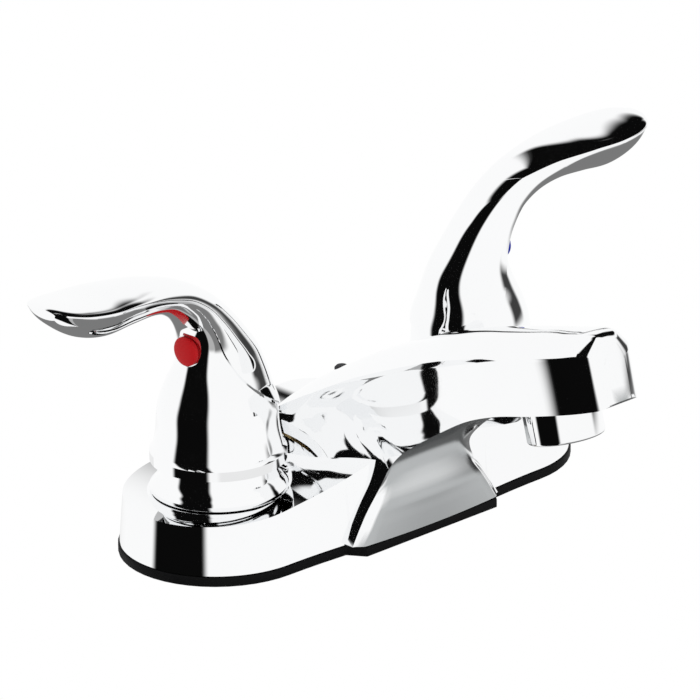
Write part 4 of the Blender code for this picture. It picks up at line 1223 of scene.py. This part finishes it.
@dataclass
class InletShank:
    """The threaded brass inlet under one handle."""

    side: Side
    radius: float = 10.2 * MM
    bore: float = 6.5 * MM
    length: float = 48.0 * MM
    spigot_r: float = 8.4 * MM
    spigot_top: float = 3.2 * MM
    shoulder: float = 0.7 * MM
    pitch: float = 1.8 * MM
    depth: float = 1.0 * MM
    plain: float = 3.0 * MM
    tip: float = 1.0 * MM
    crest: float = 1.3
    margin: float = 0.1 * MM
    rows_per_pitch: int = 6
    facets: int = 72

    def build(self) -> bpy.types.Object:
        """Turns the inlet and rolls its thread by moving the turned mesh's outer side.

        Returns:
            The finished piece.
        """
        thread = self.length - self.plain
        rows = ceil(thread / (self.pitch / self.rows_per_pitch))
        low, high = self.tip - self.length, self.shoulder - self.plain
        levels = [high - thread * k / rows for k in range(rows + 1)]
        outer = [(self.radius, max(z, low)) for z in levels if z >= low - self.margin]
        profile = [(self.spigot_r, self.spigot_top), (self.spigot_r, self.shoulder),
                   (self.radius, self.shoulder), *outer, (self.radius - self.tip, -self.length),
                   (self.bore, -self.length), (self.bore, self.spigot_top)]
        bm = turned(profile, self.facets)
        for vert in bm.verts:
            x, y, z = vert.co
            r = hypot(x, y)
            if r > self.radius - self.margin and low - WELD < z < high + WELD:
                turn = (z / self.pitch + atan2(y, x) / (2 * pi)) % 1.0
                fade = min(1.0, (high - z) / self.pitch, (z - low) / self.pitch)
                scale = 1 - self.depth * fade * min(1.0, self.crest * abs(2 * turn - 1)) / r
                vert.co = (x * scale, y * scale, z)
        shank = Shape.add(f"{self.side.label}_threaded_inlet", bm, ROUNDED_SHARP)
        shank.data.transform(Matrix.Translation((self.side.x, 0, 0)))
        return Shape.settle(shank, BRASS, "brass", Body.TAP.value, f"{self.side.label}_inlet_shank")


@dataclass
class CadFinishes:
    """Finishes for the CAD solids that keep their own shape."""

    plans: dict[str, Finish] = field(default_factory=lambda: {
        "waterway_manifold": BRASS, "spout_tube": COPPER, "aerator_washer": SEAL,
        "rod_hole_plug": BLACK_PLASTIC, "bonnet_nut": BRASS, "cartridge_body": BRASS,
        "cartridge_stem": BRASS, "ceramic_disc_lower": CERAMIC, "ceramic_disc_upper": CERAMIC,
        "handle_screw": STEEL, "seat_seal": SEAL, "shank_washer": SEAL})
    nut_edge: float = 0.6 * MM

    def dress(self, nodes: dict[str, bpy.types.Object]) -> None:
        """Gives each solid its finish.

        Args:
            nodes: The frame's nodes by name.
        """
        for name, node in nodes.items():
            kind = name.removeprefix("hot_").removeprefix("cold_")
            if kind in self.plans:
                Shape.paint(node, self.plans[kind])

    def build_nuts(self) -> None:
        """Rounds the edges of the two winged nuts under the basin."""
        for side in Side:
            node = f"{side.label}_shank_nut"
            nut = soften(node, f"{side.label}_wing_nut", self.nut_edge)
            Shape.settle(nut, BLACK_PLASTIC, "black_plastic", Body.TAP.value, node)


# Studio


@dataclass(frozen=True)
class Screen:
    """A dark screen in the white surroundings, in degrees.

    Azimuth 0 is in front of the spout and grows towards the hot handle's side.
    """

    az_low: float
    az_high: float
    el_low: float
    el_high: float
    depth: float
    soft: float

    def band(self, maker: NodeMaker, value: bpy.types.NodeSocket, low: float, high: float, whole: float
             ) -> bpy.types.NodeSocket:
        """Makes a mask of one range with soft ends.

        Args:
            maker: The world's node maker.
            value: Place in the whole circle or half circle, from 0 to 1.
            low: Start of the range.
            high: End of the range.
            whole: The degrees that value spans.

        Returns:
            The mask.
        """
        a, b, s = low / whole + 0.5, high / whole + 0.5, self.soft / whole
        return maker.ramp(value, [(a - s, 0.0), (a + s, 1.0), (b - s, 1.0), (b + s, 0.0)])

    def mask(self, maker: NodeMaker, around: bpy.types.NodeSocket, height: bpy.types.NodeSocket
             ) -> bpy.types.NodeSocket:
        """Makes the screen's darkness.

        Args:
            maker: The world's node maker.
            around: Azimuth, from 0 to 1.
            height: Elevation, from 0 to 1.

        Returns:
            The darkness, 0 outside the screen.
        """
        across = self.band(maker, around, self.az_low, self.az_high, 360.0)
        upward = self.band(maker, height, self.el_low, self.el_high, 180.0)
        return maker.maths("MULTIPLY", maker.maths("MULTIPLY", across, upward), self.depth)


@dataclass
class Studio:
    """The pale floor, the surroundings that the metal mirrors, and the camera.

    The camera looks at a point given as its distance to the right of the part's axis and its height.
    """

    azimuth: float = radians(42.77)
    elevation: float = radians(21.17)
    roll: float = radians(-0.96)
    distance: float = 1.703
    focal: float = 298.1
    sensor: float = 36.0
    clip: Span = (0.05, 20.0)
    aim: Point = (1.14 * MM, 47.28 * MM)
    floor_half: float = 4.0
    floor_cells: int = 8
    floor_tone: float = 0.8
    floor_roughness: float = 0.9
    screens: tuple[Screen, ...] = (
        Screen(59.0, 123.0, -95.0, 72.0, 0.997, 4.0),
        Screen(-84.0, -51.0, -7.0, 16.0, 0.95, 6.0),
        Screen(-149.0, -126.0, 29.0, 95.0, 0.997, 3.5),
        Screen(-134.0, -62.0, 34.0, 95.0, 0.997, 3.0),
        Screen(66.0, 185.0, 64.0, 95.0, 0.997, 4.0),
        Screen(-185.0, -138.0, 64.0, 95.0, 0.997, 4.0),
        Screen(-185.0, 42.0, -95.0, -25.0, 0.80, 6.0),
        Screen(36.0, 80.0, -95.0, -27.0, 0.55, 6.0))

    def camera(self) -> None:
        """Makes the camera at the photograph's angle."""
        az, el = self.azimuth, self.elevation
        back = Vector((-sin(az) * cos(el), -cos(az) * cos(el), sin(el)))
        flat = Vector((cos(az), -sin(az), 0.0))
        rise = back.cross(flat)
        right = flat * cos(self.roll) + rise * sin(self.roll)
        up = rise * cos(self.roll) - flat * sin(self.roll)
        data = bpy.data.cameras.new("camera")
        data.lens = self.focal
        data.sensor_width = self.sensor
        data.clip_start, data.clip_end = self.clip
        obj = bpy.data.objects.new("camera", data)
        bpy.context.scene.collection.objects.link(obj)
        place = Vector((0, 0, self.aim[1])) + flat * self.aim[0] + back * self.distance
        turn = Matrix((right, up, back)).transposed()
        obj.matrix_world = Matrix.Translation(place) @ turn.to_4x4()
        bpy.context.scene.camera = obj

    def floor(self) -> None:
        """Makes the basin's top, white to the camera like the photograph's ground."""
        bm = bmesh.new()
        cells = self.floor_cells
        bmesh.ops.create_grid(bm, x_segments=cells, y_segments=cells, size=self.floor_half)
        floor = Shape.add("floor", bm)
        material = bpy.data.materials.new("pale_floor")
        material.use_nodes = True
        nodes = material.node_tree.nodes
        maker = NodeMaker(material.node_tree)
        shader = nodes["Principled BSDF"]
        shader.inputs["Base Color"].default_value = (*[self.floor_tone] * 3, 1.0)
        shader.inputs["Roughness"].default_value = self.floor_roughness
        shader.inputs["Specular IOR Level"].default_value = 0.0
        glow = maker.add("ShaderNodeEmission", {"Color": WHITE, "Strength": 1.0})
        rays = maker.add("ShaderNodeLightPath")
        mix = maker.add("ShaderNodeMixShader", {0: rays.outputs["Is Camera Ray"], 1: shader.outputs[0],
                                                2: glow.outputs[0]})
        maker.link(mix.outputs[0], nodes["Material Output"].inputs["Surface"])
        floor.data.materials.append(material)
        floor.visible_glossy = False

    def world(self) -> None:
        """Makes the white surroundings with the dark screens that the chrome mirrors."""
        world = bpy.data.worlds.new("studio")
        bpy.context.scene.world = world
        world.use_nodes = True
        maker = NodeMaker(world.node_tree)
        background = world.node_tree.nodes["Background"]
        background.inputs["Color"].default_value = WHITE
        way = maker.add("ShaderNodeSeparateXYZ", {0: maker.add("ShaderNodeTexCoord").outputs["Generated"]})
        x, y, z = way.outputs
        turn = maker.maths("ARCTAN2", maker.maths("MULTIPLY", x, -1.0), maker.maths("MULTIPLY", y, -1.0))
        around = maker.maths("MULTIPLY_ADD", turn, 1 / (2 * pi), 0.5)
        height = maker.maths("MULTIPLY_ADD", maker.maths("ARCSINE", z), 1 / pi, 0.5)
        masks = [screen.mask(maker, around, height) for screen in self.screens]
        dark = reduce(lambda a, b: maker.maths("MAXIMUM", a, b), masks)
        rays = maker.add("ShaderNodeLightPath")
        unseen = maker.maths("SUBTRACT", 1.0, rays.outputs["Is Camera Ray"])
        shiny = maker.maths("MULTIPLY", rays.outputs["Is Glossy Ray"], unseen)
        level = maker.maths("SUBTRACT", 1.0, maker.maths("MULTIPLY", shiny, dark))
        maker.link(level, background.inputs["Strength"])

    def build(self) -> None:
        """Builds the whole studio."""
        bpy.context.scene.view_settings.view_transform = "Standard"
        self.camera()
        self.floor()
        self.world()


def main() -> None:
    """Loads the frame, builds each sub-assembly and dresses the rest."""
    logging.basicConfig(level=logging.INFO, format="%(name)s %(message)s")
    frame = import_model()
    Studio().build()
    finishes = CadFinishes()
    finishes.dress(frame["nodes"])
    BodyCasting().build()
    for side, swing in SWINGS.items():
        handle = LeverHandle(side, swing)
        handle.build()
        handle.build_button()
        EscutcheonRing(side).build()
        InletShank(side).build()
    aerator = Aerator()
    aerator.build()
    aerator.build_insert()
    BaseGasket().build()
    finishes.build_nuts()


if __name__ == "__main__":
    main()
